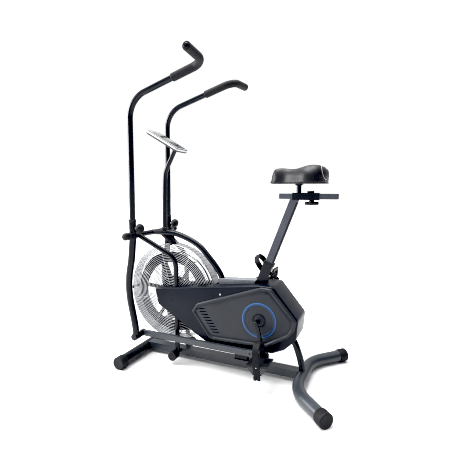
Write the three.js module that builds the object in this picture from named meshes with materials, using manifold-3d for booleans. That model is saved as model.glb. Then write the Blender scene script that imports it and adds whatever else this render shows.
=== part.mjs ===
// Upright air bike: a fan-braked exercise bike with two swinging handlebar arms.
// Millimetres. +X to the rear (the saddle end), +Y to the rider's right, +Z up.
// The model is laid out from the handlebar pivot axis (x = 0) and the floor (z = 0), and the
// whole group is then moved along X so that the origin is under the middle of the bike.
import * as THREE from 'three';
import { mergeVertices } from 'three/addons/utils/BufferGeometryUtils.js';
import Module from 'manifold-3d';

const wasm = await Module();
wasm.setup();

// ---------------------------------------------------------------- driving dimensions
const GAP = 0.3;                 // seat gap between pieces that bear on each other
const RUN = 0.4;                 // radial running clearance of a shaft in its bore
const ROUND = 20;                // sides of a plain round piece

const ARM_Y = 167;               // handlebar arm, from the middle plane
const PIVOT_Z = 713;             // handlebar pivot axis above the floor
const CROSS_R = 14;              // cross tube that carries the pivot
const CROSS_HALF = 140;
const AXLE_R = 10;               // turned-down ends of the cross tube
const AXLE_HALF = 226;

const FOOT_R = 30;               // front and rear foot tubes
const CAP_R = FOOT_R + 5;        // rubber end caps on the feet
const CAP_LENGTH = 46;
const CAP_FLOOR = 7;             // thickness of a cap's closed end
const FRONT_FOOT_X = -45;
const FRONT_FOOT_HALF = 272;
const REAR_FOOT_X = 884;
const REAR_FOOT_STRAIGHT = 70;   // half length of the straight middle
const REAR_FOOT_BEND = 200;      // bend radius
const REAR_FOOT_TURN = Math.PI / 4;
const REAR_FOOT_LEG = 152;       // straight leg after the bend, cap included

const RAIL_WIDTH = 50;
const RAIL_HEIGHT = 40;
const RAIL_Z = 42;

const FORK_R = 12.7;
const FORK_X = 190;
const FORK_Y = 56;
const FORK_TOP_Y = 126;
const FORK_CORNER_Z = 585;
const FORK_BEND = 90;
const BRACKET_THICK = 8;         // dropout plates on the fork tubes

const PEG_R = 25;
const PEG_INNER = 72;
const PEG_OUTER = 117;
const PEG_BAR_R = 8;
const PEG_Z = 51;

const FAN_X = 148;
const FAN_Z = 388;
const CAGE_R = 270;
const CAGE_HALF = 40;            // plane of the guard's flat face
const CAGE_WIRE = 4;
const RIM_HALF = 34;
const RIM_WALL = 4;
const WHEEL_R = CAGE_R - 48;
const WHEEL_BAND = 50;           // radial width of the wheel's outer band
const WHEEL_HALF = 34;
const WHEEL_BLADES = 6;
const HUB_R = 88;
const HUB_CORE_R = 26;
const BLADE_TURN = 50;            // degrees from +X to the first fan blade
const SHAFT_R = 8;
const SHAFT_LEFT = -66;
const SHAFT_RIGHT = 80;

const CRANK_X = 681;
const CRANK_Z = 320;
const CRANK_LENGTH = 172;
const CRANK_Y = 127;             // middle of the crank arms
const CRANK_THICK = 12;
const CRANK_WIDTH = 18;
const CRANK_BOSS_R = 15;
const CRANK_EYE_R = 12.5;
const CRANK_AXLE_R = 9;
const CHAIN_Y = 73;
const CHAIN_WIDTH = 6;
const CHAIN_HEIGHT = 8;
const CHAIN_PITCH = 12.7;
const RING_TEETH = 44;
const SPROCKET_TEETH = 13;
const SPROCKET_THICK = 3;

const CASE_HALF = CHAIN_Y + 11;
const CASE_WALL = 3;
const CASE_SPLIT = GAP / 2;      // half of the joint between the two case halves
const FAN_CLEAR_R = CAGE_R + 6;  // the case is cut away around the guard
const FAN_CLEAR_HALF = CAGE_HALF + 5;
const COVER_DEPTH = 10;          // crank cover stands proud of the case by this
const COVER_BORDER = 20;
const COVER_RECESS = 3;
const ACCENT_OUTER = 88;
const ACCENT_INNER = 73;

const PEDAL_Y = CRANK_Y + 63;
const PEDAL_LENGTH = 106;
const PEDAL_WIDTH = 92;
const PEDAL_TOP = 9;              // tread above the spindle's axis
const PEDAL_LOW = 36;             // weighted underside below the axis
const PEDAL_LOW_HALF = 20;
const PEDAL_TILT = { left: 5, right: 35 };  // degrees, nose down
const SPINDLE_R = 6.5;
const STRAP_WIDTH = 30;
const STRAP_THICK = 3;
const STRAP_RISE = 92;
const STRAP_BULGE = 13;
const STRAP_TAIL = 52;            // the strap's ends hang this far below the axis

const ROD_Y = CRANK_Y - 19;
const ROD_THICK = 18;
const ROD_HEIGHT = 30;
const ROD_EYE_R = 19;
const ROD_PIN_R = 8;
const ARM_LOW_X = -3;            // lower arm joint
const ARM_LOW_Z = 156;

const UPPER_ARM_R = 14.2;
const LOWER_ARM_R = UPPER_ARM_R + 3.8;
const LOWER_ARM_TOP = 797;
const SLEEVE_INNER = 142;
const SLEEVE_OUTER = 196;
const SLEEVE_R = LOWER_ARM_R + 1;
const UPPER_ARM_LOW = 737;
const HANDLE_CORNER = [9, 1405];
const HANDLE_BEND = 130;
const GRIP_START_X = 264;
const GRIP_TURN = [434, 1529];
const GRIP_TURN_R = 62;
const GRIP_END = [438, 330, 1541];
const GRIP_R = UPPER_ARM_R + 5.3;
const GRIP_END_WALL = 6;
const KNOB_Z = 752;
const KNOB_R = 24;
const KNOB_LENGTH = 48;

const HOOP_R = 15;
const BEAM_WIDTH = 50;
const BEAM_HEIGHT = 36;
const BEAM_FRONT = [432, 490];    // front top edge of the main beam
const BEAM_SLOPE = 0.0575;

const SEAT_BASE = [660, 480];    // seat tube axis at its lower end
const SEAT_LEAN = Math.atan2(120, 314);
const SEAT_TUBE_LENGTH = 124;
const POST_DEPTH = 40;
const POST_WIDTH = 25;
const SEAT_TUBE_DEPTH = POST_DEPTH + 10;
const SEAT_TUBE_WIDTH = POST_WIDTH + 10;
const POST_BELOW = 15;           // post end below the seat tube
const SLIDE_Z = 923;             // saddle slide rail
const SLIDE_SIZE = 25;
const SLIDE_X0 = 751;
const SLIDE_X1 = 1023;
const CARRIAGE_X0 = 815;
const CARRIAGE_X1 = 940;
const CARRIAGE_CLOSED_X = 858;   // the carriage is open below in front of this
const CARRIAGE_WALL = 3.6;
const SLIDE_KNOB_X = 904;
const SLIDE_KNOB_R = 35;
const STEM_X = 843;
const STEM_R = 11;
const SADDLE_X0 = 708;
const SADDLE_X1 = 976;
const SADDLE_Z0 = 984;
const SADDLE_Z1 = 1066;
const SADDLE_HALF = 118;
const SADDLE_NOSE_HALF = 44;

const POST_FOOT_X = 87;          // console post, where it stands on the hoop
const CONSOLE_POST_R = 12;
const CONSOLE_MID = [114, 1204];
const CONSOLE_TILT = THREE.MathUtils.degToRad(30);
const CONSOLE_LENGTH = 206;
const CONSOLE_WIDTH = 122;
const CONSOLE_NARROW = 110;
const CONSOLE_THICK = 22;
const CONSOLE_CORNER = 18;

// ---------------------------------------------------------------- worked out from them
const FOOT_Z = CAP_R * Math.cos(Math.PI / ROUND);
const RING_PITCH_R = RING_TEETH * CHAIN_PITCH / (2 * Math.PI);
const SPROCKET_PITCH_R = SPROCKET_TEETH * CHAIN_PITCH / (2 * Math.PI);
const ARM_SIDES = 14;
const RIGHT = 1;
const LEFT = -1;
const SIDES = [[LEFT, 'left'], [RIGHT, 'right']];
// The cranks rest square to the line from the arm joints, which makes both link rods equal.
const CRANK_LEAN = Math.atan2(CRANK_Z - ARM_LOW_Z, CRANK_X - ARM_LOW_X);
const LEG_DIR = [Math.sin(REAR_FOOT_TURN), Math.cos(REAR_FOOT_TURN)];
const BEND_END_X = REAR_FOOT_X + REAR_FOOT_BEND * (1 - Math.cos(REAR_FOOT_TURN));
const BEND_END_Y = REAR_FOOT_STRAIGHT + REAR_FOOT_BEND * Math.sin(REAR_FOOT_TURN);
const REAR_END_X = BEND_END_X + REAR_FOOT_LEG * LEG_DIR[0];
const REAR_END_Y = BEND_END_Y + REAR_FOOT_LEG * LEG_DIR[1];
const SEAT_NORMAL = new THREE.Vector3(Math.cos(SEAT_LEAN), 0, -Math.sin(SEAT_LEAN));

// ---------------------------------------------------------------- materials
function finish(color, roughness, metalness) {
  return new THREE.MeshStandardMaterial({ color, roughness, metalness });
}
const blackPaint = () => finish(0x1b1d21, 0.38, 0.55);
const greyPaint = () => finish(0x5f656d, 0.4, 0.6);
const casePlastic = () => finish(0x24282f, 0.5, 0.0);
const coverPlastic = () => finish(0x3c4045, 0.55, 0.0);
const bluePlastic = () => finish(0x3f6f9f, 0.4, 0.0);
const rubber = () => finish(0x141416, 0.85, 0.0);
const foam = () => finish(0x1a1a1c, 0.95, 0.0);
const chrome = () => finish(0xc8ccd0, 0.2, 1.0);
const steel = () => finish(0x9a9da1, 0.35, 1.0);
const fanPaint = () => finish(0x16171a, 0.5, 0.4);
const vinyl = () => finish(0x202124, 0.5, 0.0);
const shellPlastic = () => finish(0xbfc3c7, 0.35, 0.1);
const screenPlastic = () => finish(0x2a2f33, 0.15, 0.0);

// ---------------------------------------------------------------- solids
function toSolid(geometry) {
  const plain = geometry.clone();
  plain.deleteAttribute('normal');
  plain.deleteAttribute('uv');
  const merged = mergeVertices(plain, 1e-4);
  return new wasm.Manifold(new wasm.Mesh({
    numProp: 3,
    vertProperties: new Float32Array(merged.attributes.position.array),
    triVerts: new Uint32Array(merged.index.array),
  }));
}

function toGeometry(solid) {
  const mesh = solid.getMesh();
  const geometry = new THREE.BufferGeometry();
  geometry.setAttribute('position', new THREE.BufferAttribute(mesh.vertProperties, 3));
  geometry.setIndex(new THREE.BufferAttribute(mesh.triVerts, 1));
  geometry.computeVertexNormals();
  return geometry;
}

function join(...solids) {
  return solids.reduce((all, next) => all.add(next));
}

function cut(solid, ...tools) {
  return tools.reduce((left, tool) => left.subtract(tool), solid);
}

// A box from its lowest to its highest corner.
function box(x0, x1, y0, y1, z0, z1) {
  const geometry = new THREE.BoxGeometry(x1 - x0, y1 - y0, z1 - z0);
  geometry.translate((x0 + x1) / 2, (y0 + y1) / 2, (z0 + z1) / 2);
  return toSolid(geometry);
}

// A round bar along Y at (x, z); half a side is turned down so that it can rest on a flat.
function barY(radius, x, z, y0, y1, sides = ROUND) {
  const geometry = new THREE.CylinderGeometry(radius, radius, Math.abs(y1 - y0), sides);
  geometry.rotateY(Math.PI / sides);
  geometry.translate(x, (y0 + y1) / 2, z);
  return toSolid(geometry);
}

// Points of a flat outline given as [x, z], extruded along Y from y0 to y1.
function plateXZ(points, y0, y1, holes = []) {
  const shape = new THREE.Shape(points.map(([x, z]) => new THREE.Vector2(x, z)));
  for (const hole of holes) {
    shape.holes.push(new THREE.Path(hole.map(([x, z]) => new THREE.Vector2(x, z))));
  }
  const geometry = new THREE.ExtrudeGeometry(shape, { depth: y1 - y0, bevelEnabled: false });
  geometry.rotateX(Math.PI / 2);
  geometry.translate(0, y1, 0);
  return toSolid(geometry);
}

// A profile of [radius, height] pairs turned about Z; it starts and ends on the axis, or closes.
function turned(profile, sides = ROUND) {
  const points = profile.map(([r, h]) => new THREE.Vector2(r, h));
  const geometry = new THREE.LatheGeometry(points, sides);
  geometry.rotateX(Math.PI / 2);
  return geometry;
}

// The same profile turned about Y through (x, z), heights measured outwards on that side.
function turnedY(profile, x, z, side, sides = ROUND) {
  const points = profile.map(([r, h]) => new THREE.Vector2(r, h));
  const geometry = new THREE.LatheGeometry(points, sides, Math.PI / sides);
  if (side < 0) {
    geometry.rotateX(Math.PI);
  }
  geometry.translate(x, 0, z);
  return toSolid(geometry);
}

function ringProfile(inner, outer, low, high) {
  return [[inner, low], [outer, low], [outer, high], [inner, high], [inner, low]];
}

function roundSection(radius, sides) {
  const points = [];
  for (let i = 0; i < sides; i += 1) {
    const angle = (i + 0.5) * 2 * Math.PI / sides;
    points.push(new THREE.Vector2(radius * Math.cos(angle), radius * Math.sin(angle)));
  }
  return new THREE.Shape(points);
}

// A path through chosen stations, so that a straight run takes one facet lengthwise.
class StationPath extends THREE.Curve {
  constructor(stations) {
    super();
    this.stations = stations;
  }

  getSpacedPoints() {
    return this.stations;
  }

  getTangentAt(u, target = new THREE.Vector3()) {
    const last = this.stations.length - 1;
    const i = Math.round(u * last);
    target.set(0, 0, 0);
    if (i > 0) {
      target.add(this.stations[i].clone().sub(this.stations[i - 1]).normalize());
    }
    if (i < last) {
      target.add(this.stations[i + 1].clone().sub(this.stations[i]).normalize());
    }
    return target.normalize();
  }
}

// A round tube or bar through its stations.
function tube(stations, radius, sides = 14) {
  const settings = { steps: stations.length - 1, bevelEnabled: false };
  settings.extrudePath = new StationPath(stations);
  return toSolid(new THREE.ExtrudeGeometry(roundSection(radius, sides), settings));
}

// Stations of straight runs with a round bend at each inner corner.
function bent(corners, radii, steps = 5) {
  const stations = [corners[0]];
  for (let i = 1; i < corners.length - 1; i += 1) {
    const before = corners[i - 1].clone().sub(corners[i]).normalize();
    const after = corners[i + 1].clone().sub(corners[i]).normalize();
    const half = before.angleTo(after) / 2;
    const radius = radii[i - 1];
    const centre = before.clone().add(after).normalize().multiplyScalar(radius / Math.sin(half));
    centre.add(corners[i]);
    const from = corners[i].clone().addScaledVector(before, radius / Math.tan(half)).sub(centre);
    const to = corners[i].clone().addScaledVector(after, radius / Math.tan(half)).sub(centre);
    const turn = new THREE.Quaternion().setFromUnitVectors(
      from.clone().normalize(), to.clone().normalize());
    for (let k = 0; k <= steps; k += 1) {
      const part = new THREE.Quaternion().slerp(turn, k / steps);
      stations.push(from.clone().applyQuaternion(part).add(centre));
    }
  }
  stations.push(corners[corners.length - 1]);
  return stations;
}

// Stations of one smooth line through the given points.
function smooth(points, steps) {
  const curve = new THREE.CatmullRomCurve3(points.map((p) => new THREE.Vector3(...p)));
  curve.curveType = 'centripetal';
  return curve.getSpacedPoints(steps);
}

// An outline moved inwards by a distance, edge by edge.
function inset(points, distance) {
  const area = THREE.ShapeUtils.area(points.map(([x, z]) => new THREE.Vector2(x, z)));
  const turn = Math.sign(area);
  return points.map(([x, z], i) => {
    const [px, pz] = points[(i + points.length - 1) % points.length];
    const [nx, nz] = points[(i + 1) % points.length];
    const a = new THREE.Vector2(x - px, z - pz).normalize();
    const b = new THREE.Vector2(nx - x, nz - z).normalize();
    const na = new THREE.Vector2(-a.y, a.x).multiplyScalar(turn);
    const nb = new THREE.Vector2(-b.y, b.x).multiplyScalar(turn);
    const mid = na.clone().add(nb).normalize();
    const reach = distance / Math.max(0.4, mid.dot(na));
    return [x + mid.x * reach, z + mid.y * reach];
  });
}

// An outline with each corner replaced by an arc of the given radius.
function rounded(points, radii, steps = 4) {
  const out = [];
  points.forEach(([x, z], i) => {
    const radius = radii[i];
    const corner = new THREE.Vector2(x, z);
    const [px, pz] = points[(i + points.length - 1) % points.length];
    const [nx, nz] = points[(i + 1) % points.length];
    const before = new THREE.Vector2(px, pz).sub(corner).normalize();
    const after = new THREE.Vector2(nx, nz).sub(corner).normalize();
    const half = Math.acos(THREE.MathUtils.clamp(before.dot(after), -1, 1)) / 2;
    if (radius <= 0) {
      out.push([x, z]);
      return;
    }
    const reach = radius / Math.tan(half);
    const start = corner.clone().addScaledVector(before, reach);
    const end = corner.clone().addScaledVector(after, reach);
    for (let k = 0; k <= steps; k += 1) {
      const t = k / steps;
      const p = start.clone().multiplyScalar((1 - t) ** 2);
      p.addScaledVector(corner, 2 * t * (1 - t)).addScaledVector(end, t * t);
      out.push([p.x, p.y]);
    }
  });
  return out;
}

// A rounded outline moved inwards: its corners move first and are rounded afterwards.
function insetRounded(points, radii, distance, steps) {
  return rounded(inset(points, distance), radii.map((r) => Math.max(4, r - distance)), steps);
}

function circlePoints(x, z, radius, sides = 24) {
  const points = [];
  for (let i = 0; i < sides; i += 1) {
    const angle = i * 2 * Math.PI / sides;
    points.push([x + radius * Math.cos(angle), z + radius * Math.sin(angle)]);
  }
  return points;
}

// ---------------------------------------------------------------- the assembly
const bike = new THREE.Group();

function place(name, solid, material, parent = bike) {
  const mesh = new THREE.Mesh(toGeometry(solid), material);
  mesh.name = name;
  parent.add(mesh);
  return mesh;
}

// Bores are drawn on a circle whose flats clear the round bar inside.
function boreRadius(radius, clearance, sides = ROUND) {
  return (radius + clearance) / Math.cos(Math.PI / sides);
}

// ---------------------------------------------------------------- feet and base rail
const frontFoot = barY(FOOT_R, FRONT_FOOT_X, FOOT_Z, -FRONT_FOOT_HALF + CAP_FLOOR + GAP,
  FRONT_FOOT_HALF - CAP_FLOOR - GAP);
place('front_foot_tube', frontFoot, blackPaint());

function capSolid() {
  const bore = boreRadius(FOOT_R, GAP);
  return turned([[0, 0], [CAP_R, 0], [CAP_R, -CAP_LENGTH], [bore, -CAP_LENGTH],
    [bore, -CAP_FLOOR], [0, -CAP_FLOOR]].reverse());
}

// A cap whose closed end is at (x, y), facing the direction given by its angle from +X.
function placeCap(name, x, y, angle) {
  const geometry = capSolid();
  geometry.rotateZ(Math.PI / ROUND);
  geometry.rotateX(-Math.PI / 2);
  geometry.rotateZ(angle - Math.PI / 2);
  geometry.translate(x, y, FOOT_Z);
  place(name, toSolid(geometry), rubber());
}

function rearFootPath(trim) {
  const end = REAR_FOOT_LEG - trim;
  const corner = REAR_FOOT_STRAIGHT + REAR_FOOT_BEND * Math.tan(REAR_FOOT_TURN / 2);
  const tip = [BEND_END_X + end * LEG_DIR[0], BEND_END_Y + end * LEG_DIR[1]];
  return bent([
    new THREE.Vector3(tip[0], -tip[1], FOOT_Z),
    new THREE.Vector3(REAR_FOOT_X, -corner, FOOT_Z),
    new THREE.Vector3(REAR_FOOT_X, corner, FOOT_Z),
    new THREE.Vector3(tip[0], tip[1], FOOT_Z),
  ], [REAR_FOOT_BEND, REAR_FOOT_BEND]);
}
place('rear_foot_tube', tube(rearFootPath(CAP_FLOOR + GAP), FOOT_R, ROUND), blackPaint());

for (const [side, word] of SIDES) {
  placeCap(`front_foot_cap_${word}`, FRONT_FOOT_X, side * FRONT_FOOT_HALF, side * Math.PI / 2);
  placeCap(`rear_foot_cap_${word}`, REAR_END_X, side * REAR_END_Y,
    side * (Math.PI / 2 - REAR_FOOT_TURN));
}

const railTop = RAIL_Z + RAIL_HEIGHT / 2;
const footCut = (x) => barY(boreRadius(FOOT_R, GAP), x, FOOT_Z, -100, 100);
const rail = cut(
  box(FRONT_FOOT_X, REAR_FOOT_X, -RAIL_WIDTH / 2, RAIL_WIDTH / 2, railTop - RAIL_HEIGHT, railTop),
  footCut(FRONT_FOOT_X),
  footCut(REAR_FOOT_X),
  barY(boreRadius(PEG_BAR_R, GAP), FORK_X, PEG_Z, -RAIL_WIDTH, RAIL_WIDTH),
);
place('base_rail', rail, blackPaint());

// ---------------------------------------------------------------- foot pegs
place('foot_peg_bar', barY(PEG_BAR_R, FORK_X, PEG_Z, -PEG_OUTER + GAP, PEG_OUTER - GAP), blackPaint());
for (const [side, word] of SIDES) {
  const pegBore = boreRadius(PEG_BAR_R, GAP);
  const profile = ringProfile(pegBore, PEG_R, PEG_INNER, PEG_OUTER);
  place(`foot_peg_${word}`, turnedY(profile, FORK_X, PEG_Z, side), rubber());
}

// ---------------------------------------------------------------- cross tube and forks
function crossProfile() {
  return [[0, -AXLE_HALF], [AXLE_R, -AXLE_HALF], [AXLE_R, -CROSS_HALF], [CROSS_R, -CROSS_HALF],
    [CROSS_R, CROSS_HALF], [AXLE_R, CROSS_HALF], [AXLE_R, AXLE_HALF], [0, AXLE_HALF]];
}
place('cross_tube', turnedY(crossProfile(), 0, PIVOT_Z, RIGHT), blackPaint());

const crossCut = () => barY(boreRadius(CROSS_R, GAP), 0, PIVOT_Z, -CROSS_HALF, CROSS_HALF);

function forkPath(side) {
  return bent([
    new THREE.Vector3(0, side * FORK_TOP_Y, PIVOT_Z),
    new THREE.Vector3(FORK_X, side * FORK_Y, FORK_CORNER_Z),
    new THREE.Vector3(FORK_X, side * FORK_Y, PEG_Z),
  ], [FORK_BEND]);
}

for (const [side, word] of SIDES) {
  const stem = tube(forkPath(side), FORK_R);
  const y0 = side * FORK_Y - BRACKET_THICK / 2;
  const lug = plateXZ(rounded([[FAN_X - 20, FAN_Z - 20], [FORK_X, FAN_Z - 32],
    [FORK_X, FAN_Z + 32], [FAN_X - 20, FAN_Z + 20]], [16, 0, 0, 16]), y0, y0 + BRACKET_THICK);
  const fork = cut(join(stem, lug), crossCut(),
    barY(boreRadius(SHAFT_R, RUN), FAN_X, FAN_Z, side * 30, side * 90),
    barY(boreRadius(PEG_BAR_R, GAP), FORK_X, PEG_Z, side * 30, side * 90));
  place(`fork_tube_${word}`, fork, blackPaint());
}

for (const [side, word] of SIDES) {
  const bore = boreRadius(AXLE_R, GAP);
  const y0 = SLEEVE_OUTER + 2 * GAP;
  const depth = AXLE_HALF + GAP;
  const profile = [[bore, y0], [SLEEVE_R, y0], [SLEEVE_R, y0 + 8], [16, y0 + 10], [17.5, depth],
    [16.5, depth + 7], [12, depth + 12], [0, depth + 13], [0, depth], [bore, depth], [bore, y0]];
  place(`pivot_cap_${word}`, turnedY(profile, 0, PIVOT_Z, side, 16), rubber());
}

// ---------------------------------------------------------------- hoop, beam, seat tube
const hoopPoints = [[0, 714], [60, 716], [120, 717], [185, 706], [259, 678], [312, 647],
  [354, 605], [399, 555], [425, 517], [440, 480]];
const hoopPath = smooth(hoopPoints.map(([x, z]) => [x, 0, z]), 18);
const beamTop = (x) => BEAM_FRONT[1] + BEAM_SLOPE * (x - BEAM_FRONT[0]);

// X of the seat tube's front or rear face at a height; the offset runs along the tube's normal.
function seatFaceX(z, offset) {
  const { x: nx, z: nz } = SEAT_NORMAL;
  return SEAT_BASE[0] + (offset - nz * (z - SEAT_BASE[1])) / nx;
}

function beamOutline(grow) {
  const topEnd = beamTop(seatFaceX(512, -SEAT_TUBE_DEPTH / 2 - GAP)) + grow;
  const lowEnd = topEnd - BEAM_HEIGHT - 2 * grow;
  const face = -SEAT_TUBE_DEPTH / 2 - GAP;
  return [[BEAM_FRONT[0] - grow, BEAM_FRONT[1] - BEAM_HEIGHT - grow],
    [seatFaceX(lowEnd, face), lowEnd], [seatFaceX(topEnd, face), topEnd],
    [BEAM_FRONT[0] - grow, BEAM_FRONT[1] + grow]];
}
place('main_beam', plateXZ(beamOutline(0), -BEAM_WIDTH / 2, BEAM_WIDTH / 2), greyPaint());

const beamCut = plateXZ([[380, 380], [520, 380], [520, beamTop(520) + GAP],
  [380, beamTop(380) + GAP]], -60, 60);
const hangerOutline = [[54, 706], [142, 706], [162, 640], [118, 640]];
const hanger = plateXZ(hangerOutline, -3, 3);
const hoop = cut(join(tube(hoopPath, HOOP_R), hanger), crossCut(), beamCut,
  barY(CAGE_R + 2 * GAP, FAN_X, FAN_Z, -20, 20, 96));
place('hoop_tube', hoop, blackPaint());

// A bar along the seat tube's axis, from s0 to s1 measured from its lower end.
function seatBar(depth, width, s0, s1) {
  const geometry = new THREE.BoxGeometry(depth, width, s1 - s0);
  geometry.translate(0, 0, (s0 + s1) / 2);
  geometry.rotateY(SEAT_LEAN);
  geometry.translate(SEAT_BASE[0], 0, SEAT_BASE[1]);
  return toSolid(geometry);
}

// A round bar along the seat tube's normal, at a height s, between two offsets.
function seatPinBar(radius, s, from, to, sides = 16) {
  const geometry = new THREE.CylinderGeometry(radius, radius, to - from, sides);
  geometry.rotateZ(-Math.PI / 2);
  geometry.translate((from + to) / 2, 0, s);
  geometry.rotateY(SEAT_LEAN);
  geometry.translate(SEAT_BASE[0], 0, SEAT_BASE[1]);
  return toSolid(geometry);
}

const PIN_S = 72;
const PIN_R = 4;
const PIN_COLLAR_R = 9;
const seatHalf = SEAT_TUBE_DEPTH / 2;
const seatTube = cut(
  join(seatBar(SEAT_TUBE_DEPTH, SEAT_TUBE_WIDTH, 0, SEAT_TUBE_LENGTH),
    seatPinBar(PIN_COLLAR_R, PIN_S, seatHalf - 2, seatHalf + 12)),
  seatBar(POST_DEPTH + 1, POST_WIDTH + 1, -10, SEAT_TUBE_LENGTH + 10),
  seatPinBar(PIN_R + RUN, PIN_S, 0, seatHalf + 20),
);
place('seat_tube', seatTube, blackPaint());

const pinHead = seatPinBar(15, PIN_S, seatHalf + 13, seatHalf + 35);
const pinStem = seatPinBar(PIN_R, PIN_S, POST_DEPTH / 2 + 1.2, seatHalf + 20);
place('seat_pin', join(pinHead, pinStem), blackPaint());

// ---------------------------------------------------------------- crank bracket and rear leg
const BB_R = 24;
const BB_HALF = 35;
const BRACKET_HALF = 18;
const bracketOutline = [[520, railTop + GAP], [590, railTop + GAP], [606, 165], [690, 296],
  [690, 340], [664, 318], [536, 170]];
const bracket = cut(
  join(plateXZ(bracketOutline, -BRACKET_HALF, BRACKET_HALF),
    barY(BB_R, CRANK_X, CRANK_Z, -BB_HALF, BB_HALF)),
  barY(boreRadius(CRANK_AXLE_R, RUN), CRANK_X, CRANK_Z, -50, 50),
);
place('centre_bracket', bracket, blackPaint());

const LEG_R = 16;
const legPath = smooth([[692, 0, 308], [740, 0, 290], [800, 0, 250], [838, 0, 200],
  [862, 0, 140], [876, 0, 88], [880, 0, 40]], 14);
const leg = cut(tube(legPath, LEG_R),
  barY(BB_R + 2 * GAP, CRANK_X, CRANK_Z, -50, 50),
  plateXZ([[500, 100], [700, 290], [700, 350], [500, 350]], -40, 40),
  footCut(REAR_FOOT_X),
  box(800, 920, -60, 60, 0, railTop + GAP));
place('rear_leg', leg, blackPaint());

// ---------------------------------------------------------------- case and crank covers
const caseCorners = [[66, 414], [86, 325], [202, 256], [376, 158], [430, 150], [600, 154],
  [746, 158], [806, 186], [864, 244], [872, 340], [748, 490], [690, 492]];
const caseRounds = [14, 18, 30, 40, 30, 60, 36, 40, 34, 26, 22, 30];
const caseOutline = rounded(caseCorners, caseRounds, 3);
const caseInner = insetRounded(caseCorners, caseRounds, CASE_WALL, 3);

function sidePlate(outline, side, near, far) {
  return side < 0 ? plateXZ(outline, -far, -near) : plateXZ(outline, near, far);
}

const legCut = tube(legPath, LEG_R + 2);
const crankHole = (side) => barY(BB_R + 3, CRANK_X, CRANK_Z, side * 40, side * 130);
for (const [side, word] of SIDES) {
  const shell = cut(
    sidePlate(caseOutline, side, CASE_SPLIT, CASE_HALF),
    sidePlate(caseInner, side, -5, CASE_HALF - CASE_WALL),
    barY(FAN_CLEAR_R, FAN_X, FAN_Z, -FAN_CLEAR_HALF, FAN_CLEAR_HALF, 64),
    tube(forkPath(side), FORK_R + 1.5),
    plateXZ([[380, 440], [seatFaceX(440, 0), 440], [seatFaceX(540, 0), 540], [380, 540]],
      -BEAM_WIDTH / 2 - 1.5, BEAM_WIDTH / 2 + 1.5),
    seatBar(SEAT_TUBE_DEPTH + 5, BEAM_WIDTH + 3, -60, SEAT_TUBE_LENGTH),
    seatPinBar(20, PIN_S, seatHalf, seatHalf + 60),
    legCut,
    box(505, 618, -BRACKET_HALF - GAP, BRACKET_HALF + GAP, 120, 200),
    crankHole(side),
  );
  place(`case_${word}`, shell, casePlastic());
}

const coverCorners = [[303, 318], [334, 362], [688, 486], [742, 484], [866, 342], [858, 292],
  [832, 256], [716, 186], [424, 176], [402, 186]];
const coverRounds = [16, 30, 44, 26, 22, 20, 22, 60, 26, 24];
const coverOutline = rounded(coverCorners, coverRounds, 3);
const coverInset = (distance) => insetRounded(coverCorners, coverRounds, distance, 3);
const coverY = CASE_HALF + GAP;
const coverFace = CASE_HALF + COVER_DEPTH;
for (const [side, word] of SIDES) {
  const cover = cut(
    sidePlate(coverOutline, side, coverY, coverFace),
    sidePlate(coverInset(COVER_BORDER), side, coverFace - COVER_RECESS, coverFace + 5),
    sidePlate(coverInset(CASE_WALL), side, coverY - 5, coverFace - COVER_RECESS - 2.5),
    crankHole(side),
  );
  place(`crank_cover_${word}`, cover, coverPlastic());
  const ringLow = coverFace - COVER_RECESS + GAP;
  const ring = turnedY(ringProfile(ACCENT_INNER, ACCENT_OUTER, ringLow, ringLow + 2.4),
    CRANK_X, CRANK_Z, side, 32);
  place(`accent_ring_${word}`, ring, bluePlastic());
}

// ---------------------------------------------------------------- fan guard
place('guard_rim', turnedY(ringProfile(CAGE_R - RIM_WALL, CAGE_R, -RIM_HALF, RIM_HALF),
  FAN_X, FAN_Z, RIGHT, 48), chrome());

// The guard's face is flat and turns in towards the rim at its edge.
const GUARD_EYE_R = 42;           // innermost ring
const guardEdge = CAGE_R - CAGE_WIRE / 2 - 0.5;
const guardProfile = [[GUARD_EYE_R, CAGE_HALF], [guardEdge - 20, CAGE_HALF],
  [guardEdge, RIM_HALF + GAP + CAGE_WIRE / 2]];
const GUARD_RINGS = [GUARD_EYE_R, 130, 206, guardEdge];
const GUARD_SPOKES = 8;

function guardHeight(radius) {
  for (let i = 1; i < guardProfile.length; i += 1) {
    const [r0, h0] = guardProfile[i - 1];
    const [r1, h1] = guardProfile[i];
    if (radius <= r1) {
      return h0 + (h1 - h0) * (radius - r0) / (r1 - r0);
    }
  }
  return guardProfile[guardProfile.length - 1][1];
}

function guardSolid(side) {
  const w = CAGE_WIRE / 2;
  const parts = GUARD_RINGS.map((radius) => {
    const h = guardHeight(radius);
    return turnedY([[radius - w, h], [radius, h - w], [radius + w, h], [radius, h + w],
      [radius - w, h]], FAN_X, FAN_Z, side, 24);
  });
  for (let i = 0; i < GUARD_SPOKES; i += 1) {
    const angle = (i + 1 / 3) * 2 * Math.PI / GUARD_SPOKES;
    const top = guardProfile.map(([r, h]) => [r, h + w * 0.7]);
    const low = guardProfile.map(([r, h]) => [r, h - w * 0.7]).reverse();
    const shape = new THREE.Shape([...top, ...low].map(([r, h]) => new THREE.Vector2(r, side * h)));
    const geometry = new THREE.ExtrudeGeometry(shape, { depth: CAGE_WIRE * 0.8, bevelEnabled: false });
    geometry.translate(0, 0, -CAGE_WIRE * 0.4);
    geometry.rotateY(-angle);
    geometry.translate(FAN_X, 0, FAN_Z);
    parts.push(toSolid(geometry));
  }
  return join(...parts);
}
for (const [side, word] of SIDES) {
  place(`guard_${word}`, guardSolid(side), chrome());
}

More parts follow.
